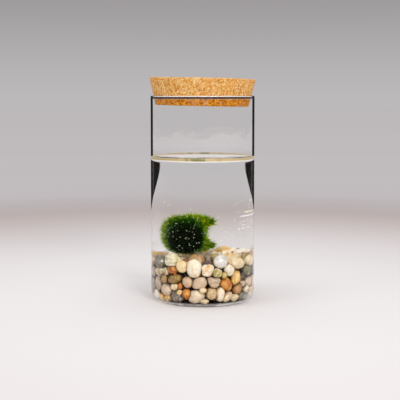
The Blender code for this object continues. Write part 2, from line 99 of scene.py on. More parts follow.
# The water, which runs a little way into the glass so that no air shows between them
WATER_RISE = 2.4 * MM          # of its edge at the glass
WATER_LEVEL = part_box("water")[1].z - WATER_RISE
WATER_OVERLAP = 0.12 * MM
WATER_CURVE = 5.0 * MM         # width of its raised edge
WATER_COLOUR = (0.992, 0.995, 0.992)
WATER_BEND = 1.333             # index of refraction
GLASS_BEND = 1.47
THIN_BEND = 1.10               # of the dry wall, which the photograph shows with hardly a reflection
EDGE_FALL = 1.0 * MM           # how fast the raised edge dies away from the glass
DULL_ROOM = (0.13, 0.13, 0.13)   # strength of the reflections, which the dark side of the room keeps weak

# The moss ball
MOSS_CENTRE = Vector((-8.6, 0.0, 41.6)) * MM
MOSS_HALF = Vector((11.0, 11.4, 12.9)) * MM
MOSS_SQUARENESS = 2.6          # 2 is an ellipsoid
MOSS_POINTS = (
    # direction in the x-z plane, growth beyond the ball, and half angle of the point
    (32.0, 4.8 * MM, 8.0),
    (43.0, 2.6 * MM, 9.0),
    (56.0, 1.0 * MM, 12.0),
    (-27.0, 4.3 * MM, 8.0),
    (-40.0, 2.0 * MM, 11.0),
)
# Painted shade: the moss is darkest on the side this direction points to.
MOSS_SHADE = Vector((0.0, -0.97, -0.24)).normalized()   # direction of its darkest side
MOSS_FRINGE = 3.1 * MM         # length of the free ends outside the dense core
MOSS_TONES = (
    # painted brightness, from painted shade to the lit fringe, and colour
    (0.0, (0.002, 0.005, 0.0005)),
    (0.20, (0.006, 0.035, 0.0005)),
    (0.45, (0.035, 0.200, 0.001)),
    (0.70, (0.290, 0.480, 0.002)),
    (1.0, (0.850, 0.900, 0.010)),
)
# Painted shade: the dense core keeps near the darkest tone.
CORE_GLOW = 0.06
STRAND_WIDTH = 0.085 * MM      # half the width of one filament at its root
LOCK_WIDTH = 0.55 * MM         # reach of the roots of one lock of filaments
STRANDS_IN_LOCK = 15
STRAND_KINDS = 7
LOCKS_IN_MESH = 624
STRAND_MESHES = 5

# Air bubbles
MOSS_BUBBLES = 170
LOOSE_BUBBLES = 60
BUBBLE_CLEARANCE = 15.0 * MM   # of the loose ones from the middle of the moss ball
GLASS_BUBBLES = (
    # number, azimuth and its spread, height and its spread, and smallest and largest radius
    (46, (-18.0, 14.0), (57.0 * MM, 6.0 * MM), (0.12 * MM, 0.30 * MM)),
    (22, (-52.0, 9.0), (45.5 * MM, 2.2 * MM), (0.11 * MM, 0.24 * MM)),
)

# Beads
PEARL_DRILL = Vector((0.86, 0.20, 0.46)).normalized()   # direction of the hole through it
GREY_BEAD_GROWTH = 1.06        # of the bead over its solid, which keeps clear of its neighbours

# The shell lies on the bed behind the pearl
SHELL_LENGTH = 21.0 * MM
SHELL_RADIUS = 4.7 * MM
SHELL_BASE = Vector((2.2, 11.0, 28.1)) * MM
SHELL_TURN = -6.0
SHELL_RISE = 4.0
SHELL_SHOULDER = 0.34
SHELL_WHORLS = 6.0
SHELL_GROOVE = 0.11

# The named pebbles
PEBBLE_GROWTH = 1.075          # of a stone over its solid, which keeps clear of its neighbours
PEBBLE_WEAR = 3.0 * MM         # size of its dents
FLAT_EDGE = 12.0               # edges that bend less are smoothed away

# The loose gravel behind and under the named pebbles
BED_TOP = 28.3 * MM
BED_FALL = 3.0 * MM            # how much lower it is at the far left
GRAVEL_COUNT = 205
GRAVEL_RADIUS = (2.7 * MM, 4.7 * MM)
GRAVEL_SHAPE = (1.28, 1.0, 0.86)
GRAVEL_SPLIT = 15.0 * MM       # height at which the gravel is cut in two pieces
SETTLING_ROUNDS = 260
STONE_GAP = 0.04 * MM
FRONT_TURN = 94.0              # azimuth, from the front, up to which the named pebbles reach
FRONT_DEPTH = 7.0 * MM
ROUND_POWER = 9.0              # how sharply the flats of a stone meet
# Painted shade darkens the stones between each other in this band behind the glass.
GAP_DEPTH = (2.3 * MM, 5.0 * MM)   # behind the glass, where the stones get dark between each other
BURIED_TO = 25.0 * MM          # height up to which they do

# Camera, fitted to the photograph
CAMERA_PLACE = (-1.6 * MM, -600.0 * MM, 128.0 * MM)
CAMERA_LENS = 86.0
CAMERA_DIP = 4.44
CAMERA_SHIFT = -0.075


# Small tools for meshes

def arc(centre_x, centre_z, radius, start, end, steps):
    """Points of a round corner of an outline."""
    points = []
    for step in range(steps + 1):
        angle = math.radians(start + (end - start) * step / steps)
        points.append((centre_x + radius * math.cos(angle), centre_z + radius * math.sin(angle)))
    return points


def rise(radius_low, low, radius_high, high, rows):
    """Points of a straight side, without its two ends."""
    steps = [row / rows for row in range(1, rows)]
    return [(radius_low + (radius_high - radius_low) * t, low + (high - low) * t) for t in steps]


def spun(outline, segments):
    """Turns an outline of (radius, height) points round the z axis."""
    shape = bmesh.new()
    points = [shape.verts.new((radius, 0.0, height)) for radius, height in outline]
    edges = [shape.edges.new(pair) for pair in zip(points, points[1:])]
    bmesh.ops.spin(shape, geom=points + edges, cent=(0.0, 0.0, 0.0), axis=(0.0, 0.0, 1.0),
                   angle=math.tau, steps=segments, use_merge=True)
    bmesh.ops.remove_doubles(shape, verts=shape.verts, dist=1e-7)
    bmesh.ops.recalc_face_normals(shape, faces=shape.faces)
    return shape


def mesh_of(name, shape):
    mesh = bpy.data.meshes.new(name)
    shape.to_mesh(mesh)
    shape.free()
    return smooth_shaded(mesh)


def smooth_shaded(mesh):
    for face in mesh.polygons:
        face.use_smooth = True
    return mesh


def ball_mesh(name, columns, rows):
    shape = bmesh.new()
    bmesh.ops.create_uvsphere(shape, u_segments=columns, v_segments=rows, radius=1.0)
    return mesh_of(name, shape)


def copy_into(shape, mesh, place):
    """Adds a moved copy of a small mesh to a shape."""
    mesh.transform(place)
    shape.from_mesh(mesh)
    mesh.transform(place.inverted())


def linked(name, mesh):
    body = bpy.data.objects.new(name, mesh)
    bpy.context.scene.collection.objects.link(body)
    return body


def piece(name, mesh, finish, slot, *nodes):
    """A part of the object: it rides on the one body and stands for the nodes that it names."""
    body = linked(name, mesh)
    mesh.materials.append(finish)
    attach(body, "root")
    if nodes:
        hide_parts(*nodes)
    return body


def clamped(value):
    return max(0.0, min(1.0, value))


def roughened(point, scale, seed, octaves=3):
    """Noise between about -1 and 1 at a point, with features of a size in metres."""
    place = point / scale + Vector((seed * 7.3, seed * 3.1, seed * 5.7))
    return noise.fractal(place, 1.0, 2.0, octaves)


def inside_jar(point):
    """The point, pulled in where it would be in the glass."""
    low = JAR_BASE + 0.05 * MM
    height = max(point.z, low)
    room = JAR_BORE - 0.06 * MM
    if height < JAR_BASE + JAR_HEEL:
        drop = JAR_BASE + JAR_HEEL - height
        room += math.sqrt(max(0.0, JAR_HEEL ** 2 - drop ** 2)) - JAR_HEEL
    radius = math.hypot(point.x, point.y)
    pull = min(1.0, room / radius) if radius > 0.0 else 1.0
    return Vector((point.x * pull, point.y * pull, height))


# Small tools for materials

class Finish:
    """A Principled material and the nodes that make its pattern."""

    def __init__(self, name, colour, sockets=None):
        self.material = bpy.data.materials.new(name)
        self.material.use_nodes = True
        self.tree = self.material.node_tree
        self.shader = self.tree.nodes["Principled BSDF"]
        self.put("Base Color", (*colour, 1.0))
        for socket, value in (sockets or {}).items():
            self.put(socket, value)

    def put(self, socket, source):
        self.feed(self.shader.inputs[socket], source)

    def feed(self, socket, source):
        """Gives a socket a value, or another node's output."""
        if isinstance(source, bpy.types.NodeSocket):
            self.tree.links.new(source, socket)
        elif socket.type == "RGBA" and len(source) == 3:
            socket.default_value = (*source, 1.0)
        else:
            socket.default_value = source

    def node(self, kind, **settings):
        node = self.tree.nodes.new("ShaderNode" + kind)
        for key, value in settings.items():
            setattr(node, key, value)
        return node

    def place(self, offset=(0.0, 0.0, 0.0), turn=(0.0, 0.0, 0.0), stretch=(1.0, 1.0, 1.0)):
        """Object coordinates, moved, turned and stretched."""
        mapping = self.node("Mapping")
        self.feed(mapping.inputs["Vector"], self.node("TexCoord").outputs["Object"])
        mapping.inputs["Location"].default_value = offset
        mapping.inputs["Rotation"].default_value = [math.radians(angle) for angle in turn]
        mapping.inputs["Scale"].default_value = stretch
        return mapping.outputs["Vector"]

    def grain(self, place, size, detail=3.0, roughness=0.55, distortion=0.0):
        """Soft noise whose features have a size in metres."""
        node = self.node("TexNoise")
        self.feed(node.inputs["Vector"], place)
        node.inputs["Scale"].default_value = 1.0 / size
        node.inputs["Detail"].default_value = detail
        node.inputs["Roughness"].default_value = roughness
        node.inputs["Distortion"].default_value = distortion
        return node.outputs[0]

    def cells(self, place, size, feature="F1"):
        node = self.node("TexVoronoi", feature=feature)
        self.feed(node.inputs["Vector"], place)
        node.inputs["Scale"].default_value = 1.0 / size
        return node

    def spread(self, value, low, high, bottom=0.0, top=1.0):
        """Runs from bottom to top while the value runs from low to high."""
        node = self.node("MapRange", clamp=True)
        self.feed(node.inputs["Value"], value)
        for socket, number in zip(("From Min", "From Max", "To Min", "To Max"),
                                  (low, high, bottom, top)):
            node.inputs[socket].default_value = number
        return node.outputs["Result"]

    def ramp(self, value, stops):
        """A colour or a number that runs through (place, colour or number) stops."""
        node = self.node("ValToRGB")
        self.feed(node.inputs[0], value)
        set_stops(node.color_ramp.elements, stops)
        return node.outputs["Color"]

    def axes(self):
        """The x, y and z of a point of the object."""
        parts = self.node("SeparateXYZ")
        self.feed(parts.inputs[0], self.node("TexCoord").outputs["Object"])
        return parts.outputs["X"], parts.outputs["Y"], parts.outputs["Z"]

    def from_axis(self):
        """Distance of a point from the jar's axis."""
        x, y = self.axes()[:2]
        square = self.maths("ADD", self.product(x, x), self.product(y, y))
        return self.maths("SQRT", square, 0.0)

    def blend(self, share, first, second, mode="MIX"):
        node = self.node("Mix", data_type="RGBA", blend_type=mode)
        self.feed(node.inputs[0], share)
        self.feed(node.inputs[6], first)
        self.feed(node.inputs[7], second)
        return node.outputs[2]

    def maths(self, operation, first, second):
        node = self.node("Math", operation=operation)
        self.feed(node.inputs[0], first)
        self.feed(node.inputs[1], second)
        return node.outputs[0]

    def product(self, first, second):
        return self.maths("MULTIPLY", first, second)

    def within(self, value, low, full_low, full_high, high, top=1.0):
        """Rises from low to full_low, and falls again from full_high to high."""
        falling = self.spread(value, high, full_high, 0.0, top)
        return self.product(self.spread(value, low, full_low), falling)

    def facing(self):
        """0 where the surface faces the viewer, and 1 where it is seen along its length."""
        node = self.node("LayerWeight")
        node.inputs["Blend"].default_value = 0.5
        return node

    def colour_parts(self, colour):
        """The outputs Red, Green and Blue of a colour."""
        node = self.node("SeparateColor")
        self.feed(node.inputs[0], colour)
        return node.outputs

    def attribute(self, name):
        return self.node("Attribute", attribute_name=name)

    def relief(self, height, depth, strength=1.0):
        node = self.node("Bump")
        node.inputs["Strength"].default_value = strength
        node.inputs["Distance"].default_value = depth
        self.feed(node.inputs["Height"], height)
        self.put("Normal", node.outputs["Normal"])


def set_stops(points, stops):
    """Gives the points of a colour ramp their places and their colours or numbers."""
    for number, (place, colour) in enumerate(stops):
        point = points[number] if number < 2 else points.new(place)
        point.position = place
        point.color = (*colour, 1.0) if isinstance(colour, tuple) else (colour, colour, colour, 1.0)


def tone(red, green, blue):
    """A colour given as a screen shows it, from 0 to 255."""
    return tuple((part / 255.0) ** 2.2 for part in (red, green, blue))


# Jar, stopper and water

def turned_sideways(glass):
    """How far the wall has turned sideways from the viewer, from 0 to 1, from above as from the side."""
    upright = glass.node("CombineXYZ")
    upright.inputs["Z"].default_value = 1.0
    wall_facing = glass.facing()
    top_facing = glass.facing()
    glass.feed(top_facing.inputs["Normal"], upright.outputs["Vector"])
    toward = glass.maths("SUBTRACT", 1.0, wall_facing.outputs["Facing"])
    upward = glass.maths("SUBTRACT", 1.0, top_facing.outputs["Facing"])
    level = glass.maths("SUBTRACT", 1.0, glass.product(upward, upward))
    level = glass.maths("SQRT", glass.maths("MAXIMUM", level, 0.01), 0.0)
    return glass.maths("SUBTRACT", 1.0, glass.maths("DIVIDE", toward, level))


def dark_edge(glass, height, turned):
    """Where glass seen along its wall is painted dark, as shade, but for a faint painted streak of light
    under water.
    """
    share = glass.spread(height, 0.0, JAR_HEIGHT)
    start = glass.ramp(share, [(low / JAR_HEIGHT, turn) for low, turn in DARK_EDGE])
    edge = glass.spread(glass.maths("SUBTRACT", turned, start), 0.0, 0.03)
    streak = glass.within(turned, 0.655, 0.685, 0.71, 0.74)
    wet_streak = glass.product(streak, glass.spread(height, WATER_LEVEL, WATER_LEVEL - 1.0 * MM))
    return glass.product(edge, glass.spread(wet_streak, 0.0, 1.0, 1.0, 0.45))


def wall_bend(glass, height, edge):
    """Index of refraction of the wall, low where it is dry and not seen along its length."""
    water_share = WATER_LEVEL / JAR_HEIGHT
    dry = glass.ramp(glass.spread(height, 0.0, JAR_HEIGHT), (
        (water_share, 0.0), (water_share + 0.015, 1.0), (0.989, 1.0), (0.993, 0.0)))
    extra = glass.spread(dry, 0.0, 1.0, GLASS_BEND - 1.0, THIN_BEND - 1.0)
    return glass.maths("ADD", 1.0, glass.product(extra, glass.maths("SUBTRACT", 1.0, edge)))


def damp_film(glass, height):
    """A faint haze over the water, whose upper edge is wavy."""
    wave = glass.grain(glass.place(stretch=(1.0, 1.0, 2.0)), FILM_WAVE, detail=2.0)
    level = glass.maths("ADD", height, glass.product(wave, FILM_WAVE))
    middle = FILM_HIGH + 0.5 * FILM_WAVE
    film = glass.product(glass.spread(level, middle + 0.6 * MM, middle - 0.6 * MM),
                         glass.spread(height, FILM_LOW, FILM_LOW + 2.0 * MM))
    return glass.product(film, 0.10)


def painted_wall_gleam(glass, height):
    """Painted highlights: light caught in level streaks on the right side of the wall, in front."""
    across, deep = glass.axes()[:2]
    side = glass.product(glass.spread(across, 21.5 * MM, 25.0 * MM),
                         glass.spread(deep, 2.0 * MM, -2.0 * MM))
    broken = glass.grain(glass.place(stretch=(1.0, 1.0, 0.6)), 5.0 * MM, detail=2.0)
    gleam = 0.0
    for middle, half, strength, evenness in PAINTED_GLEAM_STREAKS:
        streak = glass.within(height, middle - half, middle - 0.5 * half,
                              middle + 0.5 * half, middle + half, strength)
        streak = glass.product(streak, glass.spread(broken, 0.44, 0.54, evenness, 1.0))
        gleam = glass.maths("MAXIMUM", gleam, streak)
    return glass.product(gleam, side)


def tide_colour(glass, height, beside):
    """Painted light on the raised edge of the water: a cream band with a painted green reflection in the
    middle, under a pale painted line.
    """
    painted_reflection = glass.grain(glass.place(stretch=(1.0, 1.0, 0.4)), 5.0 * MM, detail=2.0)
    middle = glass.spread(beside, 4.0 * MM, 17.0 * MM, 0.75, 0.0)
    green = glass.product(middle, glass.spread(painted_reflection, 0.44, 0.52))
    band = glass.blend(green, (0.80, 0.64, 0.34), (0.14, 0.17, 0.02))
    over_line = glass.spread(height, WATER_LEVEL + 0.45 * MM, WATER_LEVEL + 0.65 * MM)
    return glass.blend(over_line, (0.97, 0.96, 0.92), band)


def foot_colour(glass, beside):
    """The thick, milky foot carries painted highlights in places, painted shade in the middle and painted
    light at the sides.
    """
    patches = glass.grain(glass.place(stretch=(1.0, 1.0, 0.1)), 11.0 * MM, detail=1.0)
    outer = glass.spread(beside, 14.0 * MM, 22.0 * MM)
    shade = glass.blend(outer, (0.42, 0.38, 0.34), (0.97, 0.92, 0.89))
    return glass.blend(glass.spread(patches, 0.50, 0.58), shade, (1.0, 0.99, 0.97))


def wall_patches(glass, height):
    """Patches on the thick glass, mostly painted light and shade for what it shows of the room: share of
    each point, how milky it is, and colour.
    """
    across, deep = glass.axes()[:2]
    beside = glass.maths("ABSOLUTE", across, 0.0)
    tide = glass.within(height, WATER_LEVEL - 0.4 * MM, WATER_LEVEL,
                        WATER_LEVEL + 2.0 * MM, WATER_LEVEL + 2.4 * MM)
    # The painted band at the water's edge is milky in front and nearly clear behind.
    tide_haze = glass.spread(deep, -8.0 * MM, 8.0 * MM, 0.66, 0.06)
    # Painted light: pale milky patches over the low corners at the sides.
    corner = glass.product(glass.spread(beside, 24.0 * MM, 28.0 * MM),
                           glass.spread(height, 7.5 * MM, 4.5 * MM))
    # The milky foot band, coloured with painted highlights and painted shade.
    foot = glass.within(height, 0.7 * MM, 1.1 * MM, 1.7 * MM, 3.0 * MM)
    # Colour of the painted highlights on the right wall: pale below and warm above.
    upper = glass.spread(height, 55.8 * MM, 56.2 * MM)
    caught = glass.blend(upper, (0.99, 0.98, 0.92), (0.97, 0.82, 0.52))
    # Painted shade: a dark line on the glass just under the rim.
    painted_dark_under_rim = glass.spread(height, JAR_HEIGHT - 2.1 * MM, JAR_HEIGHT - 1.7 * MM)
    return (
        (tide, tide_haze, tide_colour(glass, height, beside)),
        (corner, 0.55, (0.99, 0.93, 0.88)),
        (foot, 0.70, foot_colour(glass, beside)),
        (painted_wall_gleam(glass, height), 1.0, caught),
        (painted_dark_under_rim, 0.85, (0.035, 0.02, 0.014)),
    )


def glass_finish():
    """Clear glass with painted dark edges where it is seen along its wall, as thick glass looks, and
    painted light and shade in bands and patches.
    """
    glass = Finish("clear_glass", CLEAR_GLASS, {
        "Roughness": 0.0, "IOR": GLASS_BEND, "Transmission Weight": 1.0})
    height = glass.axes()[2]
    # Painted shade: the edges seen along the wall are coloured dark.
    edge = dark_edge(glass, height, turned_sideways(glass))
    glass.put("IOR", wall_bend(glass, height, edge))
    # Along the top of the rim the reflections are at full strength, and the glass carries a painted pale
    # highlight line.
    rim = glass.spread(height, JAR_HEIGHT - 0.72 * MM, JAR_HEIGHT - 0.62 * MM)
    glass.put("Specular Tint", glass.ramp(rim, ((0.0, DULL_ROOM), (1.0, (1.0, 1.0, 1.0)))))
    ripples = glass.grain(glass.place(stretch=(1.0, 1.0, 0.06)), 2.6 * MM, detail=1.0)
    glass.relief(ripples, 0.012 * MM, 0.5)
    haze = damp_film(glass, height)
    body = CLEAR_GLASS
    for share, milkiness, colour in wall_patches(glass, height):
        haze = glass.maths("MAXIMUM", haze, glass.product(share, milkiness))
        body = glass.blend(share, body, colour)
    glass.put("Transmission Weight", glass.maths("SUBTRACT", 1.0, haze))
    # Painted highlight along the top of the rim.
    body = glass.blend(rim, body, (0.86, 0.85, 0.85))
    # The painted dark edges are near black, with paler painted streaks down them.
    painted_edge_streaks = glass.grain(glass.place(stretch=(1.0, 1.0, 0.03)), 1.3 * MM, detail=2.0)
    dark = glass.blend(glass.spread(painted_edge_streaks, 0.50, 0.72), (0.018, 0.019, 0.016), (0.10, 0.09, 0.08))
    glass.put("Base Color", glass.blend(edge, body, dark))
    return glass.material


def clear_finish(name, colour, bend):
    """Water, or the inner face of the glass, with the weak reflections of a dark room."""
    return Finish(name, colour, {"Roughness": 0.0, "IOR": bend, "Transmission Weight": 1.0,
                                 "Specular Tint": DULL_ROOM}).material


def add_inner_finish(body, name, bend):
    """The inner face of the glass: under water it bends light only a little."""
    body.data.materials.append(clear_finish(name, (0.99, 0.99, 0.99), bend))


def make_jar():
    lip = JAR_WALL / 2.0
    outline = [(0.0, JAR_BASE)]
    outline += arc(JAR_BORE - JAR_HEEL, JAR_BASE + JAR_HEEL, JAR_HEEL, -90.0, 0.0, 10)
    outline += rise(JAR_BORE, JAR_BASE + JAR_HEEL, JAR_BORE, JAR_HEIGHT - lip, WALL_ROWS)
    outline += arc(JAR_BORE + lip, JAR_HEIGHT - lip, lip, 180.0, 0.0, 12)
    outline += rise(JAR_RADIUS, JAR_HEIGHT - lip, JAR_RADIUS, JAR_FOOT, WALL_ROWS)
    outline += arc(JAR_RADIUS - JAR_FOOT, JAR_FOOT, JAR_FOOT, 0.0, -90.0, 10)
    outline += [(0.0, 0.0)]
    shape = spun(outline, JAR_SEGMENTS)
    for face in shape.faces:
        spot = face.calc_center_median()
        inner = math.hypot(spot.x, spot.y) < JAR_BORE + 0.01 * MM and spot.z > JAR_BASE / 2.0
        wet = spot.z < WATER_LEVEL + WATER_RISE
        face.material_index = int(inner) if wet else 2 * int(inner)
    jar = piece("glass_cylinder_jar", mesh_of("glass_cylinder_jar", shape),
                glass_finish(), "glass", "glass_jar")
    add_inner_finish(jar, "wetted_glass", GLASS_BEND / WATER_BEND)
    add_inner_finish(jar, "dry_inner_glass", THIN_BEND)
    let_light_through(jar)


def let_light_through(body):
    """Glass and water cast no shadow and don't darken what is in them."""
    body.visible_shadow = False
    body.visible_diffuse = False


def cork_radius(height):
    return CORK_RIM_RADIUS + CORK_TAPER * (height - JAR_HEIGHT)


def cork_specks(cork):
    """Dark bits of bark, a few among the granules."""
    bark = cork.cells(cork.place(offset=(0.3, 0.1, 0.2)), CORK_BARK)
    near = cork.spread(bark.outputs["Distance"], 0.14, 0.36, 1.0, 0.0)
    pick = cork.colour_parts(bark.outputs["Color"])
    return cork.product(near, cork.spread(pick["Green"], 0.66, 0.74, 0.0, 0.85))


def cork_finish():
    """Pressed granules, pale over the rim; in the mouth a darker, deeper copy of them is painted shade,
    with painted reflections in pale patches.
    """
    cork = Finish("pressed_cork", tone(214, 150, 74), {"Roughness": 0.85, "Specular IOR Level": 0.2})
    place = cork.place()
    warped = cork.blend(0.0022, place, cork.node("TexNoise").outputs["Color"])
    granule = cork.colour_parts(cork.cells(warped, CORK_GRANULE).outputs["Color"])["Red"]
    seams = cork.cells(warped, CORK_GRANULE, "DISTANCE_TO_EDGE").outputs["Distance"]
    fine = cork.grain(place, 0.6 * MM, detail=5.0, roughness=0.75)
    patches = cork.grain(place, 4.0 * MM, detail=4.0, roughness=0.7)
    light = cork.ramp(granule, (
        (0.0, tone(212, 136, 52)), (0.45, tone(236, 178, 94)), (1.0, tone(250, 220, 158))))
    light = cork.blend(cork.spread(fine, 0.47, 0.66, 0.0, 0.70), light, tone(200, 116, 36))
    light = cork.blend(cork.spread(seams, 0.0, 0.10, 0.25, 0.0), light, tone(160, 84, 26))
    light = cork.blend(cork_specks(cork), light, tone(104, 44, 10))
    # Painted shade: the cork in the mouth is a darker copy of the same granules.
    deep = cork.ramp(granule, (
        (0.0, tone(158, 82, 6)), (0.45, tone(220, 136, 20)), (1.0, tone(244, 178, 60))))
    deep = cork.blend(cork.spread(fine, 0.42, 0.62, 0.0, 0.75), deep, tone(140, 68, 6))
    # Painted reflections in pale patches on the shaded cork.
    deep = cork.blend(cork.spread(patches, 0.54, 0.68, 0.0, 0.65), deep, tone(214, 176, 146))
    shaded_mouth = cork.spread(cork.axes()[2], JAR_HEIGHT - 1.5 * MM, JAR_HEIGHT, 1.0, 0.0)
    cork.put("Base Color", cork.blend(shaded_mouth, light, deep))
    cork.relief(fine, 0.35 * MM, 0.8)
    return cork.material


def make_stopper():
    top = cork_radius(CORK_TOP)
    bottom = cork_radius(CORK_TOP - CORK_LENGTH)
    outline = [(0.0, 0.0)]
    outline += rise(0.0, 0.0, top - CORK_EDGE, 0.0, CORK_ROWS)
    outline += arc(top - CORK_EDGE, -CORK_EDGE, CORK_EDGE, 90.0, 0.0, 5)
    outline += rise(top, -CORK_EDGE, bottom, CORK_EDGE - CORK_LENGTH, CORK_ROWS)
    outline += arc(bottom - CORK_EDGE, CORK_EDGE - CORK_LENGTH, CORK_EDGE, 0.0, -90.0, 5)
    outline += rise(bottom - CORK_EDGE, -CORK_LENGTH, 0.0, -CORK_LENGTH, 24)
    outline += [(0.0, -CORK_LENGTH)]
    shape = spun(outline, CORK_SEGMENTS)
    shape.normal_update()
    for vertex in shape.verts:
        granule = noise.cell(vertex.co / (1.5 * MM) + Vector((5.0, 2.0, 9.0)))
        worn = 0.5 - 0.5 * roughened(vertex.co, 0.7 * MM, 2.0)
        torn = max(0.0, roughened(vertex.co, 1.9 * MM, 4.0) - 0.42)
        depth = CORK_PIT * (0.16 * granule + 0.30 * worn + 1.6 * torn)
        vertex.co -= vertex.normal * min(depth, 1.6 * CORK_PIT)
    place = Matrix.Translation((0.0, 0.0, CORK_TOP)) @ Matrix.Rotation(math.radians(CORK_TILT), 4, "Y")
    bmesh.ops.transform(shape, matrix=place, verts=shape.verts)
    piece("tapered_cork", mesh_of("tapered_cork", shape), cork_finish(), "cork", "cork_stopper")


def make_water():
    """Still water. The bend of light where it meets the glass is in the wetted glass."""
    wall = JAR_BORE + WATER_OVERLAP
    low = JAR_BASE - WATER_OVERLAP
    outline = [(0.0, WATER_LEVEL)]
    outline += rise(0.0, WATER_LEVEL, JAR_BORE - WATER_CURVE, WATER_LEVEL, 16)
    for step in range(25):
        away = WATER_CURVE * (1.0 - step / 24.0)
        outline.append((JAR_BORE - away, WATER_LEVEL + WATER_RISE * math.exp(-away / EDGE_FALL)))
    outline.append((wall, WATER_LEVEL + WATER_RISE))
    outline += rise(wall, WATER_LEVEL + WATER_RISE, wall, low + JAR_HEEL, WALL_ROWS)
    outline += arc(wall - JAR_HEEL, low + JAR_HEEL, JAR_HEEL, 0.0, -90.0, 10)
    outline += [(0.0, low)]
    shape = spun(outline, JAR_SEGMENTS)
    for face in shape.faces:
        face.material_index = int(face.normal.z < 0.05)
    water = piece("filled_water", mesh_of("filled_water", shape),
                  clear_finish("still_water", WATER_COLOUR, WATER_BEND), "water", "water")
    water.data.materials.append(clear_finish("water_at_the_glass", WATER_COLOUR, 1.0))
    let_light_through(water)


# Moss ball

def ball_reach(direction):
    parts = [(abs(part) / half) ** MOSS_SQUARENESS for part, half in zip(direction, MOSS_HALF)]
    return sum(parts) ** (-1.0 / MOSS_SQUARENESS)


def moss_reach(direction):
    """Distance from the moss ball's middle to its surface in a direction."""
    reach = ball_reach(direction)
    for angle, growth, half_angle in MOSS_POINTS:
        away = math.degrees(direction.angle(moss_point(angle))) / half_angle
        reach += growth * math.exp(-1.35 * away ** 1.35)
    return reach


def moss_point(angle):
    turn = math.radians(angle)
    return Vector((math.cos(turn), 0.0, math.sin(turn)))


def moss_finish(name, through):
    """Thin filaments let some light through; their colour is painted light and shade from the stored
    brightness, a painted glow on the fringe and painted shade in the middle.
    """
    moss = Finish(name, (0.02, 0.08, 0.004), {"Roughness": 0.8, "Specular IOR Level": 0.0,
                                              "Transmission Weight": through, "IOR": 1.05})
    glow = moss.attribute("glow").outputs["Fac"]
    moss.put("Base Color", moss.ramp(glow, MOSS_TONES))
    return moss.material


def make_moss_core():
    shape = bmesh.new()
    bmesh.ops.create_icosphere(shape, subdivisions=6, radius=1.0)
    for vertex in shape.verts:
        direction = vertex.co.normalized()
        reach = ball_reach(direction)
        reach += 0.35 * (moss_reach(direction) - reach) - 0.9 * MOSS_FRINGE
        lump = roughened(direction * 12.0 * MM, 2.5 * MM, 1.0, 4)
        vertex.co = MOSS_CENTRE + direction * (reach + 0.6 * MM * lump)
    mesh = mesh_of("moss_core", shape)
    give_glow(mesh, lambda share, outward, tip: CORE_GLOW)
    piece("moss_core", mesh, moss_finish("painted_shade_moss", 0.0), "moss", "moss_ball")


def give_glow(mesh, rule):
    """Stores the painted light and shade of each point of the moss, as a brightness from 0 to 1."""
    tips = mesh.attributes.get("tip")
    glow = mesh.attributes.new("glow", "FLOAT", "POINT")
    for vertex in mesh.vertices:
        offset = vertex.co - MOSS_CENTRE
        outward = offset.normalized()
        share = offset.length / moss_reach(outward)
        tip = tips.data[vertex.index].value if tips else 0.0
        glow.data[vertex.index].value = rule(share, outward, tip)


def strand_mesh(rng):
    """One filament that stands on z = 0, one unit tall and one unit thick, and bends."""
    shape = bmesh.new()
    bmesh.ops.create_cone(shape, cap_ends=True, segments=3, radius1=1.0, radius2=0.02, depth=1.0)
    bmesh.ops.translate(shape, verts=shape.verts, vec=(0.0, 0.0, 0.5))
    for height in (0.35, 0.7):
        bmesh.ops.bisect_plane(shape, geom=shape.verts[:] + shape.edges[:] + shape.faces[:],
                               plane_co=(0.0, 0.0, height), plane_no=(0.0, 0.0, 1.0))
    tip = shape.verts.layers.float.new("tip")
    lean = rng.uniform(-5.0, 5.0)
    curl = rng.uniform(-4.0, 4.0)
    for vertex in shape.verts:
        height = vertex.co.z
        fullness = (1.0 - 0.72 * height ** 2) / max(1.0 - 0.98 * height, 0.02)
        vertex.co.x = vertex.co.x * fullness + lean * height * (1.0 - height)
        vertex.co.y = vertex.co.y * fullness + curl * height * (1.0 - height ** 2)
        vertex[tip] = height
    return mesh_of("strand", shape)


def random_direction(rng):
    return Vector([rng.gauss(0.0, 1.0) for _ in range(3)]).normalized()


def add_strand(shape, kind, root, tip, width, rng):
    """Places one filament so that it runs from its root to its tip."""
    run = tip - root
    turn = run.to_track_quat("Z", "Y").to_matrix().to_4x4()
    spin = Matrix.Rotation(rng.uniform(0.0, math.tau), 4, "Z")
    size = Matrix.Diagonal((width, width, run.length, 1.0))
    copy_into(shape, kind, Matrix.Translation(root) @ turn @ spin @ size)


def lock_direction(rng):
    """A third of the locks grow into the points, and lean along them."""
    outward = random_direction(rng)
    if rng.random() < 0.32:
        angle, _, half_angle = rng.choice(MOSS_POINTS)
        lean = 1.3 * math.tan(math.radians(half_angle)) * rng.random()
        outward = (moss_point(angle) + outward * lean).normalized()
    return outward


def add_lock(shape, kinds, rng):
    """One pointed lock of filaments, the first of which stands out as a single hair."""
    outward = lock_direction(rng)
    core = moss_reach(outward) - MOSS_FRINGE
    root = MOSS_CENTRE + outward * core * rng.uniform(0.90, 1.0)
    length = MOSS_FRINGE * rng.triangular(0.6, 1.5, 1.1)
    heading = (outward + random_direction(rng) * 0.55).normalized()
    tip = root + heading * length
    for strand in range(STRANDS_IN_LOCK):
        start = root + random_direction(rng) * LOCK_WIDTH * rng.random() ** 0.5
        end = tip + random_direction(rng) * 0.16 * MM - heading * length * 0.3 * rng.random()
        if strand == 0:
            astray = (outward + random_direction(rng) * 0.8).normalized()
            end = root + astray * (MOSS_FRINGE * rng.uniform(1.0, 1.9))
        width = STRAND_WIDTH * rng.uniform(0.7, 1.2)
        add_strand(shape, rng.choice(kinds), start, end, width, rng)


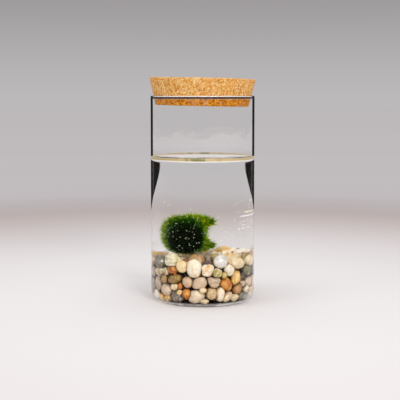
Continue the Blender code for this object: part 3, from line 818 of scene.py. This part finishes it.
def make_moss_strands():
    rng = random.Random(11)
    kinds = [strand_mesh(rng) for _ in range(STRAND_KINDS)]
    finish = moss_finish("painted_glow_moss", 0.15)
    for number in range(STRAND_MESHES):
        shape = bmesh.new()
        for _ in range(LOCKS_IN_MESH):
            add_lock(shape, kinds, rng)
        name = "moss_strands_%d" % (number + 1)
        mesh = mesh_of(name, shape)
        give_glow(mesh, strand_glow)
        piece(name, mesh, finish, "moss", "moss_ball")


def strand_glow(share, outward, tip):
    """Painted light and shade: bright at the free ends, duller in front and inside the points, and dark on
    the shaded side.
    """
    reach = moss_reach(outward)
    edge = clamped((share - 0.72) / 0.24)
    in_front = clamped((-outward.y - 0.30) / 0.4)
    in_point = clamped((reach - ball_reach(outward) - 0.9 * MM) / (1.8 * MM))
    before = clamped((-outward.y * share * reach + 0.2 * MM) / (1.6 * MM))
    painted_dimming = max(in_front, 1.25 * in_point * before)
    shaded = clamped((outward.dot(MOSS_SHADE) - 0.50) / 0.28)
    clump = 0.85 + 0.45 * roughened(outward * 12.0 * MM, 1.2 * MM, 6.0, 2)
    return clamped(edge * (0.30 + 0.70 * tip) * (1.0 - 0.5 * painted_dimming) * (1.0 - 0.92 * shaded) * clump)


# Air bubbles

def add_bubble(shape, bead, place, size):
    copy_into(shape, bead, Matrix.Translation(place) @ Matrix.Scale(size, 4))


def around_axis(radius, angle, height):
    return Vector((radius * math.cos(angle), radius * math.sin(angle), height))


def add_moss_bubbles(shape, bead, rng):
    for _ in range(MOSS_BUBBLES):
        outward = random_direction(rng)
        size = rng.triangular(0.13, 0.32, 0.18) * MM
        place = MOSS_CENTRE + outward * (moss_reach(outward) * rng.uniform(0.86, 0.98))
        add_bubble(shape, bead, place, size)


def add_loose_bubbles(shape, bead, rng):
    for _ in range(LOOSE_BUBBLES):
        angle = rng.uniform(0.0, math.tau)
        radius = JAR_BORE * math.sqrt(rng.uniform(0.05, 0.92))
        place = around_axis(radius, angle, rng.uniform(34.0, 66.0) * MM)
        size = rng.uniform(0.10, 0.22) * MM
        if (place - MOSS_CENTRE).length > BUBBLE_CLEARANCE:
            add_bubble(shape, bead, place, size)


def add_glass_bubbles(shape, bead, rng):
    for count, turns, heights, sizes in GLASS_BUBBLES:
        for _ in range(count):
            angle = math.radians(rng.gauss(*turns))
            place = around_axis(JAR_BORE - 0.2 * MM, angle, rng.gauss(*heights))
            add_bubble(shape, bead, place, rng.uniform(*sizes))


# Painted glints: the air beads glow a little, though they are no lamps.
def air_finish(name, colour, glow, strength):
    return Finish(name, colour, {"Roughness": 0.3, "Emission Color": (*glow, 1.0),
                                 "Emission Strength": strength}).material


def make_bubbles():
    """Air beads that cling to the moss and to the glass, and a few that hang in the water, all with a
    faint painted glint.
    """
    rng = random.Random(23)
    bead = ball_mesh("bead", 8, 6)
    shape = bmesh.new()
    add_moss_bubbles(shape, bead, rng)
    on_moss = len(shape.faces)
    add_loose_bubbles(shape, bead, rng)
    add_glass_bubbles(shape, bead, rng)
    for number, face in enumerate(shape.faces):
        face.material_index = int(number < on_moss)
    bubbles = piece("air_bubbles", mesh_of("air_bubbles", shape),
                    air_finish("air_beads", (0.96, 0.94, 0.84), (1.0, 1.0, 0.80), 0.30), "water")
    bubbles.data.materials.append(
        air_finish("air_on_moss", (0.62, 0.72, 0.40), (0.90, 1.0, 0.60), 0.14))


# Beads and shell

def pearl_finish():
    pearl = Finish("pearl_lustre", tone(232, 226, 214), {
        "Roughness": 0.28, "Coat Weight": 1.0, "Coat Roughness": 0.22, "Coat IOR": 1.9})
    cloud = pearl.grain(pearl.place(), 2.6 * MM, detail=2.0, distortion=1.6)
    pearl.put("Base Color", pearl.blend(
        pearl.spread(cloud, 0.38, 0.66), tone(212, 208, 199), tone(250, 245, 236)))
    pearl.relief(cloud, 0.05 * MM, 0.4)
    return pearl.material


def make_pearl():
    low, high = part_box("pearl_bead")
    centre, radius = (low + high) / 2.0, (high.x - low.x) / 2.0
    mesh = ball_mesh("round_pearl", 96, 64)
    for vertex in mesh.vertices:
        direction = vertex.co.normalized()
        swell = 1.0 + 0.006 * roughened(direction * 4.0 * MM, 3.0 * MM, 9.0)
        toward_hole = abs(direction.dot(PEARL_DRILL))
        swell -= 0.16 * clamped((toward_hole - 0.984) / 0.008)
        vertex.co = centre + direction * radius * min(1.0, swell)
    piece("round_pearl", mesh, pearl_finish(), "pearl", "pearl_bead")


def smoky_finish():
    finish = Finish("smoky_glass", tone(120, 118, 100), {
        "Roughness": 0.25, "IOR": 1.30, "Transmission Weight": 0.15,
        "Coat Weight": 1.0, "Coat Roughness": 0.27, "Coat IOR": 2.6})
    smoke = finish.grain(finish.place(), 4.0 * MM, detail=3.0, distortion=2.0)
    # Painted light and shade by how the surface faces the viewer: a darker ring inside and a painted pale
    # rim.
    body = finish.ramp(finish.facing().outputs["Facing"], (
        (0.0, tone(122, 116, 96)), (0.25, tone(98, 92, 76)), (0.5, tone(126, 120, 98)),
        (0.85, tone(196, 188, 166))))
    finish.put("Base Color", finish.blend(
        finish.spread(smoke, 0.50, 0.70, 0.0, 0.4), body, tone(176, 172, 148)))
    return finish.material


def make_grey_bead():
    low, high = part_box("grey_bead")
    middle, half = (low + high) / 2.0, (high - low) / 2.0
    mesh = ball_mesh("smoky_bead", 64, 48)
    for vertex in mesh.vertices:
        reach = [part * size * GREY_BEAD_GROWTH for part, size in zip(vertex.co, half)]
        vertex.co = inside_jar(middle + Vector(reach))
    piece("smoky_bead", mesh, smoky_finish(), "grey_glass", "grey_bead")


def shell_radius(along, around):
    if along < SHELL_SHOULDER:
        taper = SHELL_RADIUS * math.sin(0.5 * math.pi * along / SHELL_SHOULDER) ** 0.75
    else:
        taper = SHELL_RADIUS * ((1.0 - along) / (1.0 - SHELL_SHOULDER)) ** 0.9
    winding = SHELL_WHORLS * (1.0 - (1.0 - along) ** 1.35) + around / math.tau
    bulge = abs(math.sin(math.pi * winding)) ** 0.6
    ribs = 0.022 * math.sin(around * 11.0 + winding * 2.0) * bulge
    cords = 0.010 * math.sin(winding * math.tau * 5.0)
    return taper * (1.0 - SHELL_GROOVE + SHELL_GROOVE * bulge + ribs + cords)


def shell_finish():
    shell = Finish("spotted_shell", tone(250, 238, 214), {
        "Roughness": 0.32, "Coat Weight": 0.6, "Coat Roughness": 0.12})
    place = shell.place()
    along = shell.attribute("along").outputs["Fac"]
    wash = shell.grain(place, 5.0 * MM, detail=3.0)
    body = shell.blend(shell.spread(wash, 0.50, 0.66), tone(252, 244, 228), tone(246, 214, 150))
    spots = shell.cells(place, 2.0 * MM)
    pick = shell.colour_parts(spots.outputs["Color"])
    spot = shell.product(shell.spread(spots.outputs["Distance"], 0.26, 0.46, 1.0, 0.0),
                         shell.spread(pick["Red"], 0.30, 0.40))
    plum = shell.spread(pick["Blue"], 0.45, 0.55)
    late = shell.blend(plum, tone(214, 108, 40), tone(112, 72, 96))
    pigment = shell.blend(shell.spread(along, 0.40, 0.60), tone(240, 168, 44), late)
    shell.put("Base Color", shell.blend(spot, body, pigment))
    shell.relief(shell.grain(place, 0.5 * MM, detail=2.0), 0.06 * MM, 0.4)
    return shell.material


def make_shell():
    shape = bmesh.new()
    bmesh.ops.create_uvsphere(shape, u_segments=96, v_segments=170, radius=1.0)
    along_layer = shape.verts.layers.float.new("along")
    for vertex in shape.verts:
        polar = math.acos(max(-1.0, min(1.0, -vertex.co.z)))
        along = polar / math.pi
        around = math.atan2(vertex.co.y, vertex.co.x)
        radius = shell_radius(along, around) if 0.001 < along < 0.999 else 0.0
        mouth = math.exp(-((along - 0.20) / 0.13) ** 2 - ((around + 2.2) / 0.45) ** 2)
        radius *= 1.0 - 0.45 * mouth
        vertex.co = (radius * math.cos(around), radius * math.sin(around), along * SHELL_LENGTH)
        vertex[along_layer] = along
    place = (Matrix.Translation(SHELL_BASE) @ Matrix.Rotation(math.radians(SHELL_TURN), 4, "Z")
             @ Matrix.Rotation(math.radians(90.0 - SHELL_RISE), 4, "Y"))
    bmesh.ops.transform(shape, matrix=place, verts=shape.verts)
    bmesh.ops.recalc_face_normals(shape, faces=shape.faces)
    piece("turret_shell", mesh_of("turret_shell", shape), shell_finish(), "shell", "sea_shell")


# Pebbles

WHITE = tone(246, 236, 214)
CREAM = tone(240, 220, 178)
HONEY = tone(236, 198, 122)
GOLD = tone(232, 168, 62)
AMBER = tone(194, 112, 14)
RUST = tone(160, 72, 14)
TAN = tone(186, 146, 94)
BROWN = tone(146, 100, 44)
PINK = tone(212, 182, 150)
ROSE = tone(222, 200, 178)
GREY = tone(172, 156, 136)
SLATE = tone(104, 100, 84)
PLUM = tone(94, 74, 70)
OLIVE = tone(166, 152, 80)
QUARTZ = tone(208, 198, 146)
INK = tone(44, 28, 18)
# Painted shade: what the depth between the stones leaves of their colour.
GAP_SHADE = (0.07, 0.05, 0.035)     # what the depth between the stones takes of their colour
WET = {"Roughness": 0.38, "Specular IOR Level": 0.3, "Coat Weight": 0.6, "Coat Roughness": 0.12}

# name: body, stain, pattern, sharpness of its edges
PEBBLES = {
    "white_oval": (WHITE, HONEY, "streaked", 0.0),
    "honey": (HONEY, CREAM, "mottled", 0.0),
    "rust": (RUST, GOLD, "mottled", 0.5),
    "cream_chip": (CREAM, OLIVE, "mottled", 0.5),
    "cream_left": (WHITE, TAN, "mottled", 0.5),
    "brown_bean": (BROWN, OLIVE, "speckled", 0.0),
    "tan_wedge_left": (TAN, BROWN, "mottled", 0.4),
    "grey_sliver": (GREY, ROSE, "mottled", 0.0),
    "slate_left": (GREY, SLATE, "speckled", 0.0),
    "slate_top_left": (GREY, TAN, "speckled", 0.0),
    "pink_lump": (ROSE, PINK, "mottled", 0.2),
    "cream_step": (CREAM, HONEY, "mottled", 0.5),
    "orange_drop": (AMBER, GOLD, "mottled", 0.3),
    "yellow_drop": (HONEY, WHITE, "mottled", 0.3),
    "round_tan": (PINK, TAN, "speckled", 0.0),
    "orange_wedge": (AMBER, GOLD, "mottled", 0.3),
    "plum_left": (PLUM, GREY, "speckled", 0.4),
    "cream_heel": (WHITE, HONEY, "mottled", 0.0),
    "peach_heel": (HONEY, GOLD, "mottled", 0.4),
    "tan_heel": (TAN, HONEY, "mottled", 0.4),
    "pale_dome": (ROSE, CREAM, "mottled", 0.0),
    "pink_egg": (PINK, ROSE, "streaked", 0.1),
    "cream_cube": (WHITE, GOLD, "mottled", 0.4),
    "pink_wedge": (PINK, GREY, "speckled", 0.6),
    "cream_knob": (CREAM, OLIVE, "mottled", 0.0),
    "white_egg": (WHITE, TAN, "veined", 0.0),
    "olive_chip": (OLIVE, HONEY, "mottled", 0.4),
    "amber_bean": (AMBER, GOLD, "mottled", 0.0),
    "yellow_tooth": (HONEY, GOLD, "streaked", 0.4),
    "tan_bean": (TAN, AMBER, "mottled", 0.0),
    "beige_right": (ROSE, PINK, "mottled", 0.3),
    "pink_chip": (PINK, GREY, "mottled", 0.4),
    "slate_right": (SLATE, OLIVE, "speckled", 0.0),
    "plum_chip": (PLUM, INK, "speckled", 0.0),
    "peach_slab": (CREAM, TAN, "veined", 0.4),
    "white_flake": (WHITE, CREAM, "mottled", 0.5),
    "slate_heel": (SLATE, GREY, "veined", 0.0),
    "cream_edge": (CREAM, PINK, "mottled", 0.3),
    "cream_foot": (CREAM, TAN, "speckled", 0.0),
    "grey_bean": (PINK, CREAM, "mottled", 0.0),
    "half_moon": (WHITE, GOLD, "mottled", 0.2),
    "beige_round": (TAN, CREAM, "speckled", 0.0),
    "white_chip": (CREAM, GOLD, "mottled", 0.5),
    "flat_foot": (CREAM, PINK, "mottled", 0.0),
    "beige_edge": (PINK, ROSE, "mottled", 0.0),
    "peach_right": (CREAM, PINK, "mottled", 0.0),
    "quartz_nugget": (QUARTZ, WHITE, "crystal", 0.7),
    "tan_slab": (TAN, BROWN, "streaked", 0.0),
    "grey_top": (GREY, PLUM, "speckled", 0.0),
    "olive_top": (OLIVE, TAN, "mottled", 0.3),
    "cream_top": (CREAM, GOLD, "mottled", 0.3),
}


def stone_marks(finish, pattern, place):
    """Where a stone is stained, as its pattern says."""
    if pattern == "streaked":
        return finish.spread(finish.grain(place, 2.2 * MM, 4.0, 0.6, 0.8), 0.50, 0.68)
    if pattern == "veined":
        field = finish.grain(place, 4.5 * MM, 3.0, 0.5, 1.5)
        band = finish.maths("PINGPONG", finish.product(field, 7.0), 0.5)
        return finish.spread(band, 0.0, 0.10, 0.75, 0.0)
    if pattern == "crystal":
        facet = finish.colour_parts(finish.cells(place, 1.5 * MM).outputs["Color"])
        return finish.spread(facet["Red"], 0.25, 0.85)
    if pattern == "speckled":
        return finish.spread(finish.grain(place, 0.8 * MM, 4.0, 0.7), 0.48, 0.62)
    return finish.spread(finish.grain(place, 4.2 * MM, 4.0, 0.6, 0.6), 0.46, 0.64)


def painted_gap_shade(finish):
    """Share of the painted shade that lies between the stones, some way behind the glass."""
    height = finish.axes()[2]
    heel = finish.spread(height, JAR_BASE, JAR_BASE + JAR_HEEL, 3.2 * MM, 0.0)
    away = finish.maths("ADD", finish.from_axis(), heel)
    inward = finish.spread(away, JAR_BORE - GAP_DEPTH[1], JAR_BORE - GAP_DEPTH[0], 0.92, 0.0)
    return finish.product(inward, finish.spread(height, BURIED_TO - 3.0 * MM, BURIED_TO, 1.0, 0.0))


def wet_stone(finish, body, stain, pattern, place):
    """A worn, wet pebble: a stain over its body, fine specks, pale scuffs, and painted shade deep between
    the stones.
    """
    colour = finish.blend(stone_marks(finish, pattern, place), body, stain)
    specks = finish.grain(place, 0.7 * MM, 2.0, 0.8)
    colour = finish.blend(finish.spread(specks, 0.58, 0.70, 0.0, 0.55), colour, stain)
    colour = finish.blend(finish.spread(specks, 0.34, 0.24, 0.0, 0.60), colour, INK)
    scuffs = finish.grain(place, 1.6 * MM, 5.0, 0.75)
    colour = finish.blend(finish.spread(scuffs, 0.53, 0.72, 0.0, 0.50), colour, WHITE)
    worn = finish.grain(place, 2.8 * MM, 4.0, 0.7, 0.5)
    colour = finish.blend(finish.spread(worn, 0.48, 0.34, 0.0, 0.45), colour, stain, "MULTIPLY")
    # Painted shade in the gaps deep between the stones.
    finish.put("Base Color", finish.blend(painted_gap_shade(finish), colour, GAP_SHADE, "MULTIPLY"))
    finish.put("Roughness", finish.spread(scuffs, 0.3, 0.7, 0.30, 0.55))
    finish.relief(scuffs, 0.12 * MM, 0.5)
    return finish.material


def pebble_finish(name, body, stain, pattern, seed):
    finish = Finish(name, body, WET)
    stretch = (1.0, 1.0, 0.35) if pattern == "streaked" else (1.0, 1.0, 1.0)
    offset = (seed * 0.131, seed * 0.071, seed * 0.057)
    place = finish.place(offset, (0.0, 18.0 * math.sin(seed), 0.0), stretch)
    return wet_stone(finish, body, stain, pattern, place)


def worn_stone(node, sharpness, seed):
    """A smooth, worn copy of a faceted solid, grown a little about its middle."""
    shape = bmesh.new()
    shape.from_mesh(frame["nodes"][node].data)
    bmesh.ops.remove_doubles(shape, verts=shape.verts, dist=1e-6)
    crease = shape.edges.layers.float.new("crease_edge")
    for edge in shape.edges:
        bend = math.degrees(edge.calc_face_angle(0.0))
        edge[crease] = min(1.0, 2.4 * sharpness * max(0.0, (bend - FLAT_EDGE) / 30.0))
    rough = linked("rough_stone", mesh_of("rough_stone", shape))
    smooth = rough.modifiers.new("Smooth", "SUBSURF")
    smooth.levels = smooth.render_levels = 3
    bpy.context.view_layer.update()
    mesh = bpy.data.meshes.new_from_object(rough.evaluated_get(bpy.context.evaluated_depsgraph_get()))
    bpy.data.objects.remove(rough)
    low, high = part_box(node)
    middle = (low + high) / 2.0
    wear = (0.45 + 0.5 * sharpness) * MM
    normals = [vertex.normal.copy() for vertex in mesh.vertices]
    for vertex, normal in zip(mesh.vertices, normals):
        spot = middle + (vertex.co - middle) * PEBBLE_GROWTH
        dent = wear * roughened(vertex.co, PEBBLE_WEAR, seed, 4)
        vertex.co = inside_jar(spot + normal * dent)
    return smooth_shaded(mesh)


def make_pebbles():
    slots = {row["node"]: row["material_slot"] for row in frame["record"]["subparts"]}
    for number, (name, look) in enumerate(PEBBLES.items()):
        body, stain, pattern, sharpness = look
        node = name + "_pebble"
        finish = pebble_finish(name + "_stone", body, stain, pattern, number + 1.0)
        piece(name + "_worn", worn_stone(node, sharpness, number), finish, slots[node], node)


# Loose gravel

GRAVEL_TONES = (WHITE, CREAM, CREAM, HONEY, GOLD, AMBER, TAN, TAN, PINK, PINK, ROSE, GREY, GREY,
                BROWN, SLATE, PLUM, OLIVE, RUST)


def solids_in_bed():
    """The points and the middle of each solid that the gravel has to lie round."""
    names = [name + "_pebble" for name in PEBBLES]
    names += ["pearl_bead", "grey_bead", "sea_shell", "moss_ball"]
    solids = []
    for name in names:
        mesh = frame["nodes"][name].data
        points = np.empty(len(mesh.vertices) * 3)
        mesh.vertices.foreach_get("co", points)
        points = np.unique(points.reshape(-1, 3).round(6), axis=0)
        low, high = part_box(name)
        solids.append((points, np.array((low + high) / 2.0), sum(high - low) / 6.0))
    return solids


def settled_gravel(solids):
    """Middles and radii of the loose stones, pushed apart until they fill the bed evenly."""
    rng = np.random.default_rng(7)
    radii = rng.uniform(*GRAVEL_RADIUS, GRAVEL_COUNT)
    angle = rng.uniform(0.0, math.tau, GRAVEL_COUNT)
    away = JAR_BORE * np.sqrt(rng.uniform(0.0, 0.9, GRAVEL_COUNT))
    middles = np.stack((away * np.cos(angle), away * np.sin(angle) + 2.0 * MM,
                        rng.uniform(JAR_BASE, BED_TOP, GRAVEL_COUNT)), axis=1)
    fixed = np.array([middle for _, middle, _ in solids])
    fixed_radii = np.array([radius for _, _, radius in solids])
    for _ in range(SETTLING_ROUNDS):
        push = np.zeros_like(middles)
        for others, other_radii, share in ((middles, radii, 0.5), (fixed, fixed_radii, 1.0)):
            apart = middles[:, None, :] - others[None, :, :]
            distance = np.linalg.norm(apart, axis=2)
            distance[distance < 1e-9] = 1.0
            overlap = 0.90 * (radii[:, None] + other_radii[None, :]) - distance
            overlap[overlap < 0.0] = 0.0
            push += share * (apart / distance[:, :, None] * overlap[:, :, None]).sum(axis=1)
        middles += 0.5 * push
        middles = behind_named(middles, radii)
        top = BED_TOP - BED_FALL * np.clip(-middles[:, 0] / JAR_BORE, 0.0, 1.0)
        middles[:, 2] = np.clip(middles[:, 2], JAR_BASE + 0.75 * radii, top - 0.85 * radii)
        away = np.hypot(middles[:, 0], middles[:, 1])
        room = (JAR_BORE - 0.82 * radii) / np.maximum(away, 1e-9)
        middles[:, :2] *= np.minimum(1.0, room)[:, None]
    return middles, radii


def behind_named(middles, radii):
    """Keeps the loose stones away from the front of the glass, where the named ones lie."""
    away = np.hypot(middles[:, 0], middles[:, 1])
    turn = np.abs(np.degrees(np.arctan2(middles[:, 0], -middles[:, 1])))
    front = np.clip((FRONT_TURN - turn) / 12.0, 0.0, 1.0)
    room = JAR_BORE - radii - FRONT_DEPTH * front
    middles[:, :2] *= np.minimum(1.0, room / np.maximum(away, 1e-9))[:, None]
    return middles


def stone_reach(directions, radius, axes, planes):
    """How far a loose stone reaches from its middle in each direction."""
    scaled = directions @ axes / (radius * np.array(GRAVEL_SHAPE))
    total = (scaled ** 2).sum(axis=1) ** (ROUND_POWER / 2.0)
    for normal, distance in planes:
        facing = np.maximum(directions @ normal, 0.0) / max(distance, 0.4 * MM)
        total += facing ** ROUND_POWER
    return total ** (-1.0 / ROUND_POWER)


def faces_round(middle, radius, middles, radii, solids):
    """The planes, each a normal and a distance, that keep a loose stone clear of all the others."""
    planes = []
    for other, other_radius in zip(middles, radii):
        between = other - middle
        distance = np.linalg.norm(between)
        if 1e-9 < distance < 3.2 * radius + other_radius:
            own = distance * radius / (radius + other_radius) - STONE_GAP / 2.0
            planes.append((between / distance, own))
    for points, other, other_radius in solids:
        between = other - middle
        distance = np.linalg.norm(between)
        if distance < 3.0 * radius + 2.5 * other_radius:
            normal = between / distance
            planes.append((normal, ((points - middle) @ normal).min() - STONE_GAP))
    return planes


def chipped_faces(radius, rng):
    planes = []
    for _ in range(5):
        normal = rng.normal(size=3)
        planes.append((normal / np.linalg.norm(normal), radius * rng.uniform(0.80, 1.05)))
    return planes


def hidden_in_bed(middle):
    """Whether a stone lies deep inside the bed, where a coarser mesh will do."""
    return math.hypot(middle[0], middle[1]) < 18.0 * MM and 8.0 * MM < middle[2] < 19.0 * MM


def add_gravel_stone(shape, layer, middle, radius, planes, rng, seed):
    axes = np.linalg.qr(rng.normal(size=(3, 3)))[0]
    levels = 3 if hidden_in_bed(middle) else 4
    made = bmesh.ops.create_icosphere(shape, subdivisions=levels, radius=1.0)["verts"]
    directions = np.array([vertex.co.normalized() for vertex in made])
    reach = stone_reach(directions, radius, axes, planes)
    colour = Vector(GRAVEL_TONES[rng.integers(len(GRAVEL_TONES))]) * rng.uniform(0.8, 1.1)
    for vertex, direction, distance in zip(made, directions, reach):
        spot = Vector(middle + direction * distance)
        spot -= Vector(direction) * 0.12 * MM * roughened(spot, 2.2 * MM, seed, 3)
        vertex.co = inside_jar(spot)
        vertex[layer] = (*colour, 1.0)


def gravel_finish():
    finish = Finish("mixed_gravel", TAN, WET)
    own_colour = finish.attribute("stone_colour").outputs["Color"]
    warm = finish.blend(0.55, own_colour, HONEY, "MULTIPLY")
    return wet_stone(finish, own_colour, warm, "mottled", finish.place())


def make_gravel():
    solids = solids_in_bed()
    middles, radii = settled_gravel(solids)
    rng = np.random.default_rng(3)
    halves = {"low": bmesh.new(), "high": bmesh.new()}
    layers = {key: shape.verts.layers.float_color.new("stone_colour")
              for key, shape in halves.items()}
    for number, (middle, radius) in enumerate(zip(middles, radii)):
        planes = faces_round(middle, radius, middles, radii, solids) + chipped_faces(radius, rng)
        key = "high" if middle[2] > GRAVEL_SPLIT else "low"
        add_gravel_stone(halves[key], layers[key], middle, radius, planes, rng, number)
    finish = gravel_finish()
    for key, shape in halves.items():
        name = "loose_gravel_" + key
        piece(name, mesh_of(name, shape), finish, "mixed_stone", "gravel_fill")


# Stage, lights and camera

FLOOR_RADIUS = 9.0
FLOOR_TONES = (
    # distance from the jar, and colour, which carries painted shade and light
    (0.07, (0.790, 0.766, 0.770)),
    (0.16, (0.765, 0.737, 0.737)),
    (0.25, (0.724, 0.675, 0.675)),
    (0.34, (0.635, 0.585, 0.572)),
    (0.40, (0.590, 0.520, 0.505)),
    (0.47, (0.535, 0.471, 0.455)),
    (0.55, (0.560, 0.510, 0.510)),
    (0.64, (0.627, 0.586, 0.592)),
    (0.87, (0.697, 0.665, 0.670)),
    (1.33, (0.780, 0.745, 0.752)),
    (2.20, (0.815, 0.778, 0.784)),
)
FLOOR_TONES_REACH = 2.5
SKY_TONES = (
    # share of the way from the horizon to the top of the sky, and colour
    (0.0, (0.50, 0.485, 0.49)),
    (0.03, (0.46, 0.445, 0.45)),
    (0.093, (0.352, 0.335, 0.34)),
    (0.24, (0.30, 0.29, 0.30)),
    (0.5, (0.50, 0.50, 0.51)),
    (1.0, (0.85, 0.85, 0.86)),
)


def floor_finish():
    """A pale floor with a faint band of painted shade, whose far part is the backdrop."""
    floor = Finish("pale_floor", FLOOR_TONES[0][1], {"Roughness": 0.9, "Specular IOR Level": 0.0})
    away = floor.spread(floor.from_axis(), 0.0, FLOOR_TONES_REACH)
    stops = [(far / FLOOR_TONES_REACH, shade) for far, shade in FLOOR_TONES]
    floor.put("Base Color", floor.ramp(away, stops))
    return floor.material


def make_stage():
    shape = bmesh.new()
    bmesh.ops.create_circle(shape, cap_ends=True, segments=128, radius=FLOOR_RADIUS)
    bmesh.ops.translate(shape, verts=shape.verts, vec=(0.0, 0.0, -0.1 * MM))
    floor = linked("floor", mesh_of("floor", shape))
    floor.data.materials.append(floor_finish())


def make_world():
    """Grey behind, darker just above the horizon and bright overhead."""
    world = bpy.data.worlds.new("studio")
    world.use_nodes = True
    tree = world.node_tree
    coords = tree.nodes.new("ShaderNodeTexCoord")
    parts = tree.nodes.new("ShaderNodeSeparateXYZ")
    ramp = tree.nodes.new("ShaderNodeValToRGB")
    tree.links.new(coords.outputs["Generated"], parts.inputs[0])
    tree.links.new(parts.outputs["Z"], ramp.inputs["Fac"])
    set_stops(ramp.color_ramp.elements, SKY_TONES)
    tree.links.new(ramp.outputs["Color"], tree.nodes["Background"].inputs["Color"])
    bpy.context.scene.world = world


def area_light(name, place, aim, size, power, colour=(1.0, 1.0, 1.0)):
    light = bpy.data.lights.new(name, "AREA")
    light.energy = power
    light.size = size
    light.color = colour
    lamp = linked(name, light)
    lamp.location = place
    lamp.rotation_euler = (Vector(aim) - Vector(place)).to_track_quat("-Z", "Y").to_euler()
    lamp.visible_camera = False
    lamp.visible_transmission = False
    return lamp


def make_lights():
    jar_middle = (0.0, 0.0, 0.05)
    area_light("overhead_softbox", (0.0, 0.05, 0.95), (0.0, 0.0, 0.0), 0.7, 2.6)
    area_light("front_softbox", (0.42, -0.85, 0.50), jar_middle, 0.30, 4.6, (1.0, 0.985, 0.96))
    area_light("left_softbox", (-0.80, -0.35, 0.45), jar_middle, 0.40, 1.6)


def make_window():
    """Four bright panes that show only as highlights on what is glossy."""
    for column in (-1.0, 1.0):
        for row in (-1.0, 1.0):
            place = (0.12 + 0.10 * column, -0.85, 0.36 + 0.10 * row)
            pane = area_light("window_pane", place, (0.0, 0.0, 0.03), 0.17, 0.9)
            pane.visible_diffuse = False


def make_camera():
    camera_data = bpy.data.cameras.new("photo_camera")
    camera_data.sensor_width = 36.0
    camera_data.lens = CAMERA_LENS
    camera_data.shift_y = CAMERA_SHIFT
    camera = linked("photo_camera", camera_data)
    camera.location = CAMERA_PLACE
    camera.rotation_euler = (math.radians(90.0 - CAMERA_DIP), 0.0, 0.0)
    bpy.context.scene.camera = camera


make_jar()
make_stopper()
make_water()
make_moss_core()
make_moss_strands()
make_bubbles()
make_pearl()
make_grey_bead()
make_shell()
make_pebbles()
make_gravel()
make_stage()
make_world()
make_lights()
make_window()
make_camera()
bpy.context.scene.view_settings.view_transform = "Standard"
